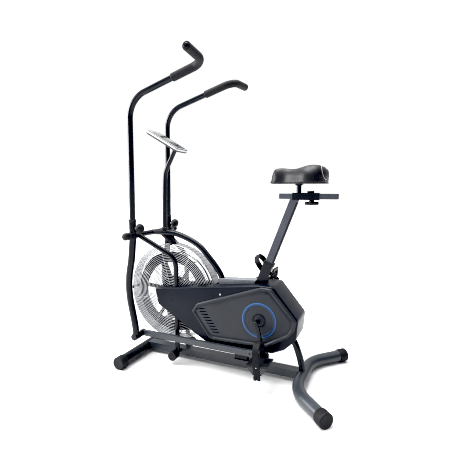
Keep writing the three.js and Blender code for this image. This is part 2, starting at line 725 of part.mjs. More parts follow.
// ---------------------------------------------------------------- fan
function fanSolid() {
  const bandIn = WHEEL_R - WHEEL_BAND;
  const bands = [LEFT, RIGHT].map((side) => turnedY(
    ringProfile(bandIn, WHEEL_R, WHEEL_HALF - 3, WHEEL_HALF), FAN_X, FAN_Z, side, 32));
  const hub = barY(HUB_R, FAN_X, FAN_Z, -3, 3, 36);
  const core = barY(HUB_CORE_R, FAN_X, FAN_Z, -WHEEL_HALF, WHEEL_HALF);
  const blades = [];
  for (let i = 0; i < WHEEL_BLADES; i += 1) {
    const geometry = new THREE.BoxGeometry(WHEEL_R - 22, 2 * WHEEL_HALF - 1, 3);
    geometry.translate((WHEEL_R + 18) / 2, 0, 0);
    geometry.rotateY(-THREE.MathUtils.degToRad(BLADE_TURN + 360 * i / WHEEL_BLADES));
    geometry.translate(FAN_X, 0, FAN_Z);
    blades.push(toSolid(geometry));
  }
  return cut(join(...bands, hub, core, ...blades),
    barY(boreRadius(SHAFT_R, GAP), FAN_X, FAN_Z, -60, 60));
}
place('fan_wheel', fanSolid(), fanPaint());
place('fan_shaft', barY(SHAFT_R, FAN_X, FAN_Z, SHAFT_LEFT, SHAFT_RIGHT), steel());

function toothedDisc(x, z, radius, bore, spokes) {
  const holes = [circlePoints(x, z, bore, 16)];
  for (let i = 0; i < spokes; i += 1) {
    const angle = i * 2 * Math.PI / spokes;
    holes.push(circlePoints(x + 0.6 * radius * Math.cos(angle), z + 0.6 * radius * Math.sin(angle),
      0.17 * radius, 12));
  }
  return plateXZ(circlePoints(x, z, radius, 44), CHAIN_Y - SPROCKET_THICK / 2,
    CHAIN_Y + SPROCKET_THICK / 2, holes);
}
const ringBody = RING_PITCH_R - CHAIN_HEIGHT / 2 - GAP;
const sprocketBody = SPROCKET_PITCH_R - CHAIN_HEIGHT / 2 - GAP;
place('fan_sprocket', toothedDisc(FAN_X, FAN_Z, sprocketBody, boreRadius(SHAFT_R, GAP, 16), 0), steel());

// ---------------------------------------------------------------- crank set
place('crank_axle', barY(CRANK_AXLE_R, CRANK_X, CRANK_Z, -CRANK_Y - CRANK_THICK / 2,
  CRANK_Y + CRANK_THICK / 2), steel());
place('chainring', toothedDisc(CRANK_X, CRANK_Z, ringBody, boreRadius(CRANK_AXLE_R, GAP, 16), 5), steel());

// Outline of a belt round two wheels: two arcs joined by the outer tangents.
function beltOutline(r0, r1) {
  const dx = CRANK_X - FAN_X;
  const dz = CRANK_Z - FAN_Z;
  const heading = Math.atan2(dz, dx);
  const spread = Math.acos((r0 - r1) / Math.hypot(dx, dz));
  const points = [];
  const arc = (x, z, r, from, to, count) => {
    for (let i = 0; i <= count; i += 1) {
      const angle = from + (to - from) * i / count;
      points.push([x + r * Math.cos(angle), z + r * Math.sin(angle)]);
    }
  };
  arc(CRANK_X, CRANK_Z, r1, heading - spread, heading + spread, 26);
  arc(FAN_X, FAN_Z, r0, heading + spread, heading + 2 * Math.PI - spread, 12);
  return points;
}
const halfLink = CHAIN_HEIGHT / 2;
const arcSlack = 1.006;
const chain = plateXZ(beltOutline(SPROCKET_PITCH_R + halfLink, RING_PITCH_R + halfLink),
  CHAIN_Y - CHAIN_WIDTH / 2, CHAIN_Y + CHAIN_WIDTH / 2,
  [beltOutline((SPROCKET_PITCH_R - halfLink) * arcSlack, (RING_PITCH_R - halfLink) * arcSlack)]);
place('chain', chain, steel());

// The near crank points down and a little back, the far crank the other way.
function crankEnd(side) {
  const way = side < 0 ? 1 : -1;
  return [CRANK_X + way * CRANK_LENGTH * Math.sin(CRANK_LEAN),
    CRANK_Z - way * CRANK_LENGTH * Math.cos(CRANK_LEAN)];
}

function barOutline(from, to, width) {
  const along = new THREE.Vector2(to[0] - from[0], to[1] - from[1]).normalize();
  const across = [-along.y * width / 2, along.x * width / 2];
  return [[from[0] - across[0], from[1] - across[1]], [to[0] - across[0], to[1] - across[1]],
    [to[0] + across[0], to[1] + across[1]], [from[0] + across[0], from[1] + across[1]]];
}

for (const [side, word] of SIDES) {
  const end = crankEnd(side);
  const inner = CRANK_Y - CRANK_THICK / 2;
  const outer = CRANK_Y + CRANK_THICK / 2;
  const arm = cut(
    join(sidePlate(barOutline([CRANK_X, CRANK_Z], end, CRANK_WIDTH), side, inner, outer),
      barY(CRANK_BOSS_R, CRANK_X, CRANK_Z, side * (inner - 6), side * (outer + 3)),
      barY(CRANK_EYE_R, end[0], end[1], side * inner, side * outer),
      barY(SPINDLE_R, end[0], end[1], side * inner, side * (PEDAL_Y + PEDAL_WIDTH / 2 - 4), 16)),
    barY(boreRadius(CRANK_AXLE_R, GAP), CRANK_X, CRANK_Z, 0, side * (outer + GAP)),
  );
  place(`crank_arm_${word}`, arm, blackPaint());
}

// ---------------------------------------------------------------- pedals and straps
// Both are shaped about the spindle's axis, then tilted nose down and moved to the crank's end.
function pedalSolid(side) {
  const inner = PEDAL_Y - PEDAL_WIDTH / 2;
  const outer = PEDAL_Y + PEDAL_WIDTH / 2;
  const half = PEDAL_LENGTH / 2;
  const outline = rounded([[-half, 3], [-PEDAL_LOW_HALF, -PEDAL_LOW], [PEDAL_LOW_HALF, -PEDAL_LOW],
    [half, 3], [half, PEDAL_TOP], [-half, PEDAL_TOP]], [5, 10, 10, 5, 2, 2], 3);
  const windows = [-1, 1].map((end) => {
    const cx = end * (half - 18);
    const near = side * (inner + 14);
    const far = side * (outer - 14);
    return box(cx - 10, cx + 10, Math.min(near, far), Math.max(near, far), -60, 60);
  });
  return cut(sidePlate(outline, side, inner, outer), ...windows,
    barY(boreRadius(SPINDLE_R, RUN, 16), 0, 0, side * (inner - 5), side * (outer - 3), 16));
}

// The strap is a band that arches over the shoe and hangs down both long sides of the pedal.
function strapOutline(grow) {
  const half = PEDAL_WIDTH / 2 + GAP + 0.5;
  const points = [];
  const steps = 16;
  for (let i = 0; i <= steps; i += 1) {
    const angle = Math.PI * i / steps;
    const bulge = STRAP_BULGE * Math.sin(angle) ** 2 * Math.abs(Math.cos(angle)) * 2.2;
    const reach = half + grow + bulge;
    points.push([reach * Math.cos(angle), 12 + (STRAP_RISE - 12 + grow) * Math.sin(angle)]);
  }
  return [[half + grow, -STRAP_TAIL], ...points, [-half - grow, -STRAP_TAIL]];
}

function strapSolid(side) {
  const outer = strapOutline(STRAP_THICK);
  const inner = strapOutline(0).reverse();
  const shape = new THREE.Shape([...outer, ...inner].map(([y, h]) => new THREE.Vector2(y, h)));
  const geometry = new THREE.ExtrudeGeometry(shape, { depth: STRAP_WIDTH, bevelEnabled: false });
  geometry.translate(0, 0, -STRAP_WIDTH / 2);
  geometry.rotateX(Math.PI / 2);
  geometry.rotateZ(Math.PI / 2);
  geometry.translate(0, side * PEDAL_Y, 0);
  const spindleHole = barY(SPINDLE_R + 2, 0, 0, side * 100, side * 250, 12);
  return cut(toSolid(geometry), spindleHole);
}

for (const [side, word] of SIDES) {
  const [x, z] = crankEnd(side);
  const settle = (solid) => solid.rotate([0, -PEDAL_TILT[word], 0]).translate([x, 0, z]);
  place(`pedal_${word}`, settle(pedalSolid(side)), rubber());
  place(`pedal_strap_${word}`, settle(strapSolid(side)), rubber());
}

// ---------------------------------------------------------------- link rods
for (const [side, word] of SIDES) {
  const front = [ARM_LOW_X, ARM_LOW_Z];
  const back = crankEnd(side);
  const inner = ROD_Y - ROD_THICK / 2;
  const outer = ROD_Y + ROD_THICK / 2;
  const along = new THREE.Vector2(back[0] - front[0], back[1] - front[1]).normalize();
  const from = [front[0] + along.x * 14, front[1] + along.y * 14];
  const to = [back[0] - along.x * 14, back[1] - along.y * 14];
  const rod = cut(
    join(sidePlate(barOutline(from, to, ROD_HEIGHT), side, inner, outer),
      barY(ROD_EYE_R, ...front, side * inner, side * outer),
      barY(ROD_EYE_R, ...back, side * inner, side * outer)),
    barY(boreRadius(ROD_PIN_R, RUN), ...front, side * 50, side * 160),
    barY(boreRadius(ROD_PIN_R, RUN), ...back, side * 50, side * 160),
  );
  place(`link_rod_${word}`, rod, greyPaint());
}

// ---------------------------------------------------------------- swinging arms
const lowerArmLine = [[-1, LOWER_ARM_TOP], [0, PIVOT_Z], [-6, 662], [-16, 582], [-33, 500],
  [-39, 430], [-34, 360], [-21, 290], [-7, 215], [ARM_LOW_X, ARM_LOW_Z]];

// A point on the straight part of the handlebar, at a height.
function handlePoint(side, z) {
  const t = (z - UPPER_ARM_LOW) / (HANDLE_CORNER[1] - UPPER_ARM_LOW);
  return new THREE.Vector3(t * HANDLE_CORNER[0], side * ARM_Y, z);
}

function lowerArm(side) {
  const y = side * ARM_Y;
  const path = smooth(lowerArmLine.map(([x, z]) => [x, y, z]), 12);
  const bolt = new THREE.CylinderGeometry(6.5, 6.5, 10, 6);
  bolt.rotateZ(Math.PI / 2);
  bolt.translate(-LOWER_ARM_R - 3, y, KNOB_Z);
  const socket = tube([handlePoint(side, UPPER_ARM_LOW - GAP), handlePoint(side, LOWER_ARM_TOP + 20)],
    boreRadius(UPPER_ARM_R, GAP, ARM_SIDES), ARM_SIDES);
  return cut(
    join(tube(path, LOWER_ARM_R, ARM_SIDES),
      barY(SLEEVE_R, 0, PIVOT_Z, side * SLEEVE_INNER, side * SLEEVE_OUTER),
      barY(SLEEVE_R, ARM_LOW_X, ARM_LOW_Z, side * SLEEVE_INNER, side * (SLEEVE_OUTER - 6)),
      barY(12, ARM_LOW_X, ARM_LOW_Z, side * (ROD_Y + ROD_THICK / 2 + 2 * GAP), side * ARM_Y),
      barY(ROD_PIN_R, ARM_LOW_X, ARM_LOW_Z, side * (ROD_Y - ROD_THICK / 2), side * ARM_Y),
      toSolid(bolt)),
    barY(boreRadius(AXLE_R, RUN), 0, PIVOT_Z, side * 100, side * 230),
    socket,
  );
}

function handlePath(side, trim) {
  const y = side * ARM_Y;
  const end = new THREE.Vector3(GRIP_END[0], side * GRIP_END[1], GRIP_END[2]);
  const turn = new THREE.Vector3(GRIP_TURN[0], y, GRIP_TURN[1]);
  const back = turn.clone().sub(end).normalize();
  return bent([
    new THREE.Vector3(0, y, UPPER_ARM_LOW),
    new THREE.Vector3(HANDLE_CORNER[0], y, HANDLE_CORNER[1]),
    turn,
    end.addScaledVector(back, trim),
  ], [HANDLE_BEND, GRIP_TURN_R]);
}

function gripPath(side) {
  const slope = (GRIP_TURN[1] - HANDLE_CORNER[1]) / (GRIP_TURN[0] - HANDLE_CORNER[0]);
  const startZ = HANDLE_CORNER[1] + slope * (GRIP_START_X - HANDLE_CORNER[0]);
  const y = side * ARM_Y;
  return bent([
    new THREE.Vector3(GRIP_START_X, y, startZ),
    new THREE.Vector3(GRIP_TURN[0], y, GRIP_TURN[1]),
    new THREE.Vector3(GRIP_END[0], side * GRIP_END[1], GRIP_END[2]),
  ], [GRIP_TURN_R]);
}

for (const [side, word] of SIDES) {
  place(`lower_arm_${word}`, lowerArm(side), blackPaint());
  const handle = tube(handlePath(side, GRIP_END_WALL + GAP), UPPER_ARM_R, ARM_SIDES);
  place(`upper_arm_${word}`, handle, blackPaint());
  const sleeve = tube(gripPath(side), GRIP_R, ARM_SIDES);
  const bore = tube(handlePath(side, GRIP_END_WALL), boreRadius(UPPER_ARM_R, GAP, ARM_SIDES), ARM_SIDES);
  place(`grip_${word}`, cut(sleeve, bore), foam());
  const knob = turned([[0, 0], [6, 0], [6, 7], [12, 9], [19, 14], [23, 21], [KNOB_R, 27],
    [KNOB_R - 1.2, 34], [18, 42], [10, KNOB_LENGTH - 1.5], [0, KNOB_LENGTH]], 16);
  knob.rotateY(Math.PI / 2);
  knob.translate(LOWER_ARM_R + GAP, side * ARM_Y, KNOB_Z);
  place(`arm_knob_${word}`, toSolid(knob), rubber());
}

// ---------------------------------------------------------------- seat post, slide and saddle
const slideLow = SLIDE_Z - SLIDE_SIZE / 2;
const postTop = (slideLow + 2 - SEAT_BASE[1]) / Math.cos(SEAT_LEAN);
const seatPost = join(seatBar(POST_DEPTH, POST_WIDTH, -POST_BELOW, postTop),
  box(SLIDE_X0, SLIDE_X1, -SLIDE_SIZE / 2, SLIDE_SIZE / 2, slideLow, slideLow + SLIDE_SIZE));
place('seat_post', seatPost, blackPaint());

const carriageOut = SLIDE_SIZE / 2 + GAP + CARRIAGE_WALL;
const carriageIn = SLIDE_SIZE / 2 + GAP;
const stemTop = SADDLE_Z0 - GAP;
const carriage = cut(
  join(box(CARRIAGE_X0, CARRIAGE_X1, -carriageOut, carriageOut, SLIDE_Z - carriageOut,
    SLIDE_Z + carriageOut),
  box(CARRIAGE_X0 + 70, CARRIAGE_X1 - 30, -11, 11, SLIDE_Z + carriageOut - 1, SLIDE_Z + carriageOut + 8)),
  box(CARRIAGE_X0 - 5, CARRIAGE_X1 + 5, -carriageIn, carriageIn, SLIDE_Z - carriageIn,
    SLIDE_Z + carriageIn),
  box(CARRIAGE_X0 - 5, CARRIAGE_CLOSED_X, -carriageIn, carriageIn, SLIDE_Z - carriageOut - 5, SLIDE_Z),
);
const stemSolid = new THREE.CylinderGeometry(STEM_R, STEM_R, stemTop - SLIDE_Z - carriageOut + 2, ROUND);
stemSolid.rotateX(Math.PI / 2);
stemSolid.translate(STEM_X, 0, (stemTop + SLIDE_Z + carriageOut - 2) / 2);
place('seat_carriage', join(carriage, toSolid(stemSolid)), blackPaint());

const knobTop = SLIDE_Z - carriageOut - GAP;
const slideKnob = turned([[0, -23], [24, -23], [33, -20], [SLIDE_KNOB_R, -15], [33, -10], [24, -7],
  [11, -5], [11, 0], [0, 0]], ROUND);
slideKnob.translate(SLIDE_KNOB_X, 0, knobTop);
place('slide_knob', toSolid(slideKnob), rubber());

// Plan of the saddle: a narrow nose that opens out to two wide lobes at the rear.
function saddlePlan(margin) {
  const length = SADDLE_X1 - SADDLE_X0;
  const points = [];
  const steps = 20;
  for (let i = 0; i <= steps; i += 1) {
    const t = i / steps;
    const open = THREE.MathUtils.smoothstep(t, 0.2, 0.78);
    const width = THREE.MathUtils.lerp(SADDLE_NOSE_HALF, SADDLE_HALF, open);
    const nose = Math.sqrt(Math.max(0, 1 - (1 - Math.min(t / 0.16, 1)) ** 2));
    const tail = Math.sqrt(Math.max(0, 1 - Math.max(0, (t - 0.72) / 0.28) ** 2.4));
    points.push([SADDLE_X0 + margin + t * (length - 2 * margin), (width - margin) * nose * tail]);
  }
  const far = points.slice(1, -1).reverse().map(([x, y]) => [x, -y]);
  return [...points, ...far];
}
const saddleShape = new THREE.Shape(saddlePlan(14).map(([x, y]) => new THREE.Vector2(x, y)));
const SADDLE_BEVEL = 14;
const saddle = new THREE.ExtrudeGeometry(saddleShape, {
  depth: SADDLE_Z1 - SADDLE_Z0 - 2 * SADDLE_BEVEL,
  bevelSize: SADDLE_BEVEL,
  bevelThickness: SADDLE_BEVEL,
  bevelSegments: 3,
});
saddle.translate(0, 0, SADDLE_Z0 + SADDLE_BEVEL);
place('saddle', toSolid(saddle), vinyl());

// ---------------------------------------------------------------- console
function inConsole(geometry) {
  geometry.rotateY(CONSOLE_TILT);
  geometry.translate(CONSOLE_MID[0], 0, CONSOLE_MID[1]);
  return toSolid(geometry);
}

function consoleSlab() {
  const l = CONSOLE_LENGTH / 2;
  const w0 = CONSOLE_WIDTH / 2;
  const w1 = CONSOLE_NARROW / 2;
  const outline = rounded([[-l, -w0], [l, -w1], [l, w1], [-l, w0]], Array(4).fill(CONSOLE_CORNER), 4);
  const shape = new THREE.Shape(outline.map(([x, y]) => new THREE.Vector2(x, y)));
  const geometry = new THREE.ExtrudeGeometry(shape, { depth: CONSOLE_THICK, bevelEnabled: false });
  geometry.translate(0, 0, -CONSOLE_THICK / 2);
  return inConsole(geometry);
}
const SCREEN_MID = -26;
const SCREEN_SIZE = [108, 84];
const SCREEN_DEPTH = 2.4;
const BUTTON_X = 64;
const BUTTON_R = 9;
const consoleTop = CONSOLE_THICK / 2;

function consoleBlock(x, length, width, low, high) {
  const geometry = new THREE.BoxGeometry(length, width, high - low);
  geometry.translate(x, 0, (low + high) / 2);
  return inConsole(geometry);
}

function consoleDisc(radius, low, high) {
  const geometry = new THREE.CylinderGeometry(radius, radius, high - low, ROUND);
  geometry.rotateX(Math.PI / 2);
  geometry.translate(BUTTON_X, 0, (low + high) / 2);
  return inConsole(geometry);
}
const consoleBody = cut(consoleSlab(),
  consoleBlock(SCREEN_MID, SCREEN_SIZE[0], SCREEN_SIZE[1], consoleTop - SCREEN_DEPTH, consoleTop + 5),
  consoleDisc(boreRadius(BUTTON_R, RUN), consoleTop - 6, consoleTop + 5));
place('console_body', consoleBody, shellPlastic());
place('console_screen', consoleBlock(SCREEN_MID, SCREEN_SIZE[0] - 2 * GAP, SCREEN_SIZE[1] - 2 * GAP,
  consoleTop - SCREEN_DEPTH + GAP, consoleTop), screenPlastic());
place('console_button', consoleDisc(BUTTON_R, consoleTop - 3.6, consoleTop + 2), rubber());

const postPath = smooth([[POST_FOOT_X, 0, 716], [POST_FOOT_X + 2, 0, 800], [93, 0, 940],
  [98, 0, 1030], [112, 0, 1072], [134, 0, 1112], [160, 0, 1158], [178, 0, 1190]], 14);
const post = cut(tube(postPath, CONSOLE_POST_R),
  tube(hoopPath, boreRadius(HOOP_R, GAP, 14)),
  consoleBlock(0, 2 * CONSOLE_LENGTH, CONSOLE_WIDTH, -CONSOLE_THICK / 2 - GAP, CONSOLE_LENGTH));
place('console_post', post, blackPaint());

// The origin goes to the floor under the middle of the bike.
const bounds = new THREE.Box3().setFromObject(bike);
bike.position.x = -bounds.getCenter(new THREE.Vector3()).x;

export default bike;
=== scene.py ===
# %% [markdown]
# # A fan-braked exercise bike, built up around its construction model
# The construction model fixes every size and every joint. This lesson dresses it: tubes get true round
# sections, castings and covers get rounded edges, the fan guard gets its wires, and each surface gets a
# finish. We load the model first.

# %% Load the frame
import math

import bmesh
import bpy
from mathutils import Matrix, Quaternion, Vector
from mathutils.bvhtree import BVHTree


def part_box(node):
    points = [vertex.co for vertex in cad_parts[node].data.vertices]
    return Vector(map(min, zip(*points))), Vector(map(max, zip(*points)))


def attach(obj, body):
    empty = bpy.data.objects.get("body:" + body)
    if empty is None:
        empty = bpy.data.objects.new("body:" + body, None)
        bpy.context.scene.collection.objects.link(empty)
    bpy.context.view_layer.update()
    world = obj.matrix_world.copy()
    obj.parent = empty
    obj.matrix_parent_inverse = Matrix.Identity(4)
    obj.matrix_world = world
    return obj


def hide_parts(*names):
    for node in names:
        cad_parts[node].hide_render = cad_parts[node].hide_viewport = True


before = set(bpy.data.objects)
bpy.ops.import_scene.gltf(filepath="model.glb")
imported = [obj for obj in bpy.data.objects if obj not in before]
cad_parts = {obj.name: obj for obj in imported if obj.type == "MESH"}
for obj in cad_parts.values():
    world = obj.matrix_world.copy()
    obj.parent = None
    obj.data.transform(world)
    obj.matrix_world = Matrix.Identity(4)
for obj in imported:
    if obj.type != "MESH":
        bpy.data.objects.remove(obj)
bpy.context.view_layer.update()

# %% [markdown]
# Places are easiest to read in millimetres from one well-known line of the object. Here that line is the
# pivot of the handlebar arms, which is the axis of the cross tube, and heights start at the floor.
# `at` turns such a place into metres in the frame.

# %% Places in millimetres
MM = 0.001
cross_low, cross_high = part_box("cross_tube")
PIVOT_X = (cross_low[0] + cross_high[0]) / 2
PIVOT_Z = (cross_low[2] + cross_high[2]) / 2 / MM


def at(x, y, z):
    """A point x, y, z millimetres from the arm pivot's middle and the floor."""
    return Vector((PIVOT_X + x * MM, y * MM, z * MM))


def centre_of(node):
    """The middle of a node's box, in millimetres from the arm pivot and the floor."""
    low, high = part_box(node)
    return ((low[0] + high[0]) / 2 - PIVOT_X) / MM, (low[1] + high[1]) / 2 / MM, (low[2] + high[2]) / 2 / MM


FAN_X, _, FAN_Z = centre_of("fan_shaft")
CRANK_X, _, CRANK_Z = centre_of("crank_axle")
FAN_MIDDLE, CRANK_MIDDLE = at(FAN_X, 0, FAN_Z), at(CRANK_X, 0, CRANK_Z)
SIDES = ((-1, "left"), (1, "right"))
X_AXIS, Y_AXIS, Z_AXIS = Vector((1, 0, 0)), Vector((0, 1, 0)), Vector((0, 0, 1))
print(f"pivot height {PIVOT_Z:.0f} mm, fan at {FAN_X:.0f}, {FAN_Z:.0f}")
print(f"cranks at {CRANK_X:.0f}, {CRANK_Z:.0f}")

# %% [markdown]
# ## The studio
# A pale floor, a white room and three soft lights. The camera stands at the rider's left and a little behind
# the bike, at chest height, with a moderately wide lens. A black level deepens the darkest tones, and a
# narrow pixel filter keeps thin wires crisp.

# %% Camera
CAMERA_PLACE = (1230.7, -1667.9, 956.1)
CAMERA_TURN = math.radians(23.2143)
CAMERA_DIP = math.radians(7.3406)
CAMERA_LENS = 27.208

camera_data = bpy.data.cameras.new("camera")
camera_data.lens = CAMERA_LENS
camera_data.sensor_width = 36
camera = bpy.data.objects.new("camera", camera_data)
bpy.context.collection.objects.link(camera)
sight = Vector((-math.sin(CAMERA_TURN) * math.cos(CAMERA_DIP),
                math.cos(CAMERA_TURN) * math.cos(CAMERA_DIP), -math.sin(CAMERA_DIP)))
camera.location = at(*CAMERA_PLACE)
camera.rotation_euler = sight.to_track_quat("-Z", "Y").to_euler()
bpy.context.scene.camera = camera

PICTURE_BLACK = (0.018, 0.017, 0.0135)
PIXEL_FILTER = 1.0
picture = bpy.context.scene.view_settings
picture.view_transform = "Standard"
picture.use_curve_mapping = True
picture.curve_mapping.black_level = PICTURE_BLACK
picture.curve_mapping.update()
bpy.context.scene.cycles.filter_width = PIXEL_FILTER
print("camera stands at", [round(c, 3) for c in camera.location])

# %% Lamps and room


def lamp(name, place, target, size, power):
    """A square soft lamp that looks at a point; all in millimetres but the power, in watts."""
    data = bpy.data.lights.new(name, "AREA")
    data.size = size * MM
    data.energy = power
    light = bpy.data.objects.new(name, data)
    bpy.context.collection.objects.link(light)
    light.location = at(*place)
    light.rotation_euler = (at(*target) - light.location).to_track_quat("-Z", "Y").to_euler()
    return light


WINDOW_WATTS, TOP_WATTS, SUN_STRENGTH, SUN_SPREAD = 150, 70, 2.6, math.radians(28)
lamp("window_lamp", (-2300, -900, 1700), (300, 0, 700), 1500, WINDOW_WATTS)
lamp("top_lamp", (350, 300, 3000), (450, 0, 500), 1800, TOP_WATTS)

sun_data = bpy.data.lights.new("sun", "SUN")
sun_data.energy = SUN_STRENGTH
sun_data.angle = SUN_SPREAD
sun = bpy.data.objects.new("sun", sun_data)
bpy.context.collection.objects.link(sun)
sun.rotation_euler = Vector((0.35, 0.30, -1.0)).to_track_quat("-Z", "Y").to_euler()

# %% [markdown]
# ## Writing node graphs as sums
# Both shader graphs and geometry graphs are mostly arithmetic. `Wire` wraps one output socket: a sum written
# with + - * / on wires adds the Math nodes, and `node` adds any other node. Settings go on the node first,
# because they can change which sockets it has.

# %% The Wire helper


class Wire:
    """One output socket of a node tree that takes part in Python sums."""

    def __init__(self, tree, socket=None):
        self.tree = tree
        self.socket = socket

    def node(self, kind, settings=None, inputs=None, out=0):
        node = self.tree.nodes.new(kind)
        for key, value in (settings or {}).items():
            if key == "stops":
                ramp = node.color_ramp.elements
                while len(ramp) < len(value):
                    ramp.new(0.5)
                for element, (place, shade) in zip(ramp, value):
                    element.position = place
                    element.color = shade if hasattr(shade, "__len__") else (shade, shade, shade, 1.0)
            else:
                setattr(node, key, value)
        for key, value in (inputs or {}).items():
            if isinstance(value, Wire):
                self.tree.links.new(value.socket, node.inputs[key])
            else:
                node.inputs[key].default_value = value
        return Wire(self.tree, node.outputs[out])

    def grow(self, kind, inputs=None, out=0):
        """A geometry node without settings."""
        return self.node("GeometryNode" + kind, None, inputs, out)

    def vector(self, numbers):
        """A vector whose X, Y and Z are numbered 0, 1 and 2; a missing one is 0."""
        return self.node("ShaderNodeCombineXYZ", None, numbers)

    def axis(self, number):
        """One number of a vector: X, Y or Z is 0, 1 or 2."""
        return self.node("ShaderNodeSeparateXYZ", None, {0: self}, number)

    def maths(self, operation, *values):
        return self.node("ShaderNodeMath", {"operation": operation}, dict(enumerate(values)))

    def __add__(self, other):
        return self.maths("ADD", self, other)

    def __sub__(self, other):
        return self.maths("SUBTRACT", self, other)

    def __rsub__(self, other):
        return self.maths("SUBTRACT", other, self)

    def __mul__(self, other):
        return self.maths("MULTIPLY", self, other)

    def __truediv__(self, other):
        return self.maths("DIVIDE", self, other)

    __radd__ = __add__
    __rmul__ = __mul__


def steps(factor, low, high, new_low=0.0, new_high=1.0):
    """The factor stretched from low..high to new_low..new_high, and held there."""
    return factor.node("ShaderNodeMapRange", None, {
        "Value": factor, "From Min": low, "From Max": high, "To Min": new_low, "To Max": new_high})


# %% [markdown]
# The room is white behind the bike and above it, and dim on the near side and behind the saddle. Dark gloss
# paint shows what it mirrors, so a dim side keeps its near faces black while the bright sides draw lines of
# light along the tubes. `steps` stretches one range of numbers to another; the finishes use it too.
# Looked at directly, the room is plain white from every side.

# %% The room's light by direction
ROOM_DIM, ROOM_SIDE, ROOM_TOP = 0.03, 1.8, 2.2
world = bpy.data.worlds.new("room")
bpy.context.scene.world = world
world.use_nodes = True
world.node_tree.nodes.clear()
start = Wire(world.node_tree)
way = start.node("ShaderNodeTexCoord", out="Generated")
way_x, way_y, way_z = (way.axis(number) for number in range(3))
behind = steps(way_y, -0.45, 0.35, ROOM_DIM, 1.0)
rear_shade = steps(way_x, 0.30, 0.75, 1.0, ROOM_DIM)
window = steps(way_x, -0.95, -0.55, ROOM_SIDE, 0.0)
overhead = steps(way_z, 0.55, 0.95, 0.0, ROOM_TOP)
strength = behind.maths("MAXIMUM", behind * rear_shade, window.maths("MAXIMUM", window, overhead))
seen = start.node("ShaderNodeLightPath", out="Is Camera Ray")
strength = strength.maths("MAXIMUM", strength, seen)
sky = strength.node("ShaderNodeBackground", None, {"Color": (1.0, 1.0, 1.0, 1.0), "Strength": strength})
room_out = world.node_tree.nodes.new("ShaderNodeOutputWorld")
world.node_tree.links.new(sky.socket, room_out.inputs[0])

# %% [markdown]
# ## Finishes
# A finish has three scales: a slow change over the whole piece, a fine grain that catches the light, and its
# gloss. Each recipe below reads Object coordinates in metres, so a grain of one millimetre has a scale near
# 1000. Only the colour, the roughness and the bump vary; the rest are plain numbers on the shader.

# %% The finish recipe


def finish(name, fixed, recipe):
    """A material: fixed numbers on the shader, and the wires that recipe(point) returns by socket."""
    material = bpy.data.materials.new(name)
    material.use_nodes = True
    tree = material.node_tree
    tree.nodes.clear()
    output = tree.nodes.new("ShaderNodeOutputMaterial")
    shader = tree.nodes.new("ShaderNodeBsdfPrincipled")
    tree.links.new(shader.outputs[0], output.inputs[0])
    for socket, value in fixed.items():
        shader.inputs[socket].default_value = value
    point = Wire(tree).node("ShaderNodeTexCoord", out="Object")
    for socket, wire in recipe(point).items():
        tree.links.new(wire.socket, shader.inputs[socket])
    return material


def noise(point, scale, detail=2.0, rough=0.5):
    return point.node("ShaderNodeTexNoise", None,
                      {"Vector": point, "Scale": scale, "Detail": detail, "Roughness": rough}, "Fac")


def blend(factor, low, high):
    """A colour between low and high."""
    low, high = [(*c, 1.0) if isinstance(c, tuple) and len(c) == 3 else c for c in (low, high)]
    return factor.node("ShaderNodeMix", {"data_type": "RGBA"}, {0: factor, 6: low, 7: high}, 2)


def bump(height, depth):
    """A normal from a height of 0 to 1 that stands for depth millimetres."""
    return height.node("ShaderNodeBump", None, {"Strength": 1.0, "Distance": depth * MM, "Height": height},
                       "Normal")


SOCKETS = {"specular": "Specular IOR Level", "metallic": "Metallic", "coat": "Coat Weight"}


def coated(name, dark, light, gloss, grain_size, grain_depth, **fixed):
    """A sprayed or moulded surface: slow shade, fine grain, and scuffs that dull it a little."""

    def recipe(point):
        slow = steps(noise(point, 7.0, 3.0), 0.35, 0.65)
        grain = noise(point, 1.0 / (grain_size * MM), 2.0, 0.6)
        scuffs = steps(noise(point, 55.0, 6.0, 0.75), 0.56, 0.72)
        return {"Base Color": blend(slow * 0.7 + grain * 0.3, dark, light),
                "Roughness": gloss + slow * 0.05 + scuffs * 0.10,
                "Normal": bump(grain, grain_depth)}

    return finish(name, {SOCKETS[word]: value for word, value in fixed.items()}, recipe)


# %% The paints, plastics and rubbers
SOFT, DULL, SATIN, SMOOTH_PAINT, GLOSS, BRIGHT = 0.16, 0.19, 0.26, 0.27, 0.5, 0.6
frame_paint = coated("frame_paint", (0.0025, 0.0032, 0.005), (0.0065, 0.0080, 0.012), 0.22, 1.1, 0.035,
                     specular=SMOOTH_PAINT)
post_paint = coated("post_paint", (0.050, 0.055, 0.068), (0.080, 0.086, 0.102), 0.36, 0.9, 0.03,
                    specular=SATIN, metallic=0.15)
beam_paint = coated("beam_paint", (0.105, 0.112, 0.130), (0.150, 0.160, 0.180), 0.24, 1.0, 0.03,
                    specular=BRIGHT)
# The frame's black paint made rougher and lighter: the rougher gloss is the real finish, the lighter colour
# is a painted highlight on the base rail and the rear foot.
rail_paint = coated("rail_paint", (0.013, 0.017, 0.023), (0.026, 0.031, 0.040), 0.34, 1.1, 0.035,
                    specular=BRIGHT)
rod_paint = coated("rod_paint", (0.024, 0.028, 0.035), (0.038, 0.043, 0.052), 0.28, 1.0, 0.03,
                   specular=GLOSS)
case_plastic = coated("case_plastic", (0.002, 0.003, 0.006), (0.006, 0.008, 0.014), 0.32, 0.7, 0.03,
                      specular=DULL)
cover_plastic = coated("cover_plastic", (0.020, 0.022, 0.026), (0.030, 0.032, 0.038), 0.40, 0.6, 0.05,
                       specular=SATIN)
rubber_black = coated("rubber_black", (0.004, 0.004, 0.0045), (0.011, 0.011, 0.012), 0.58, 1.6, 0.12,
                      specular=SATIN)
pedal_plastic = coated("pedal_plastic", (0.005, 0.005, 0.006), (0.014, 0.015, 0.017), 0.42, 0.8, 0.06,
                       specular=SATIN)
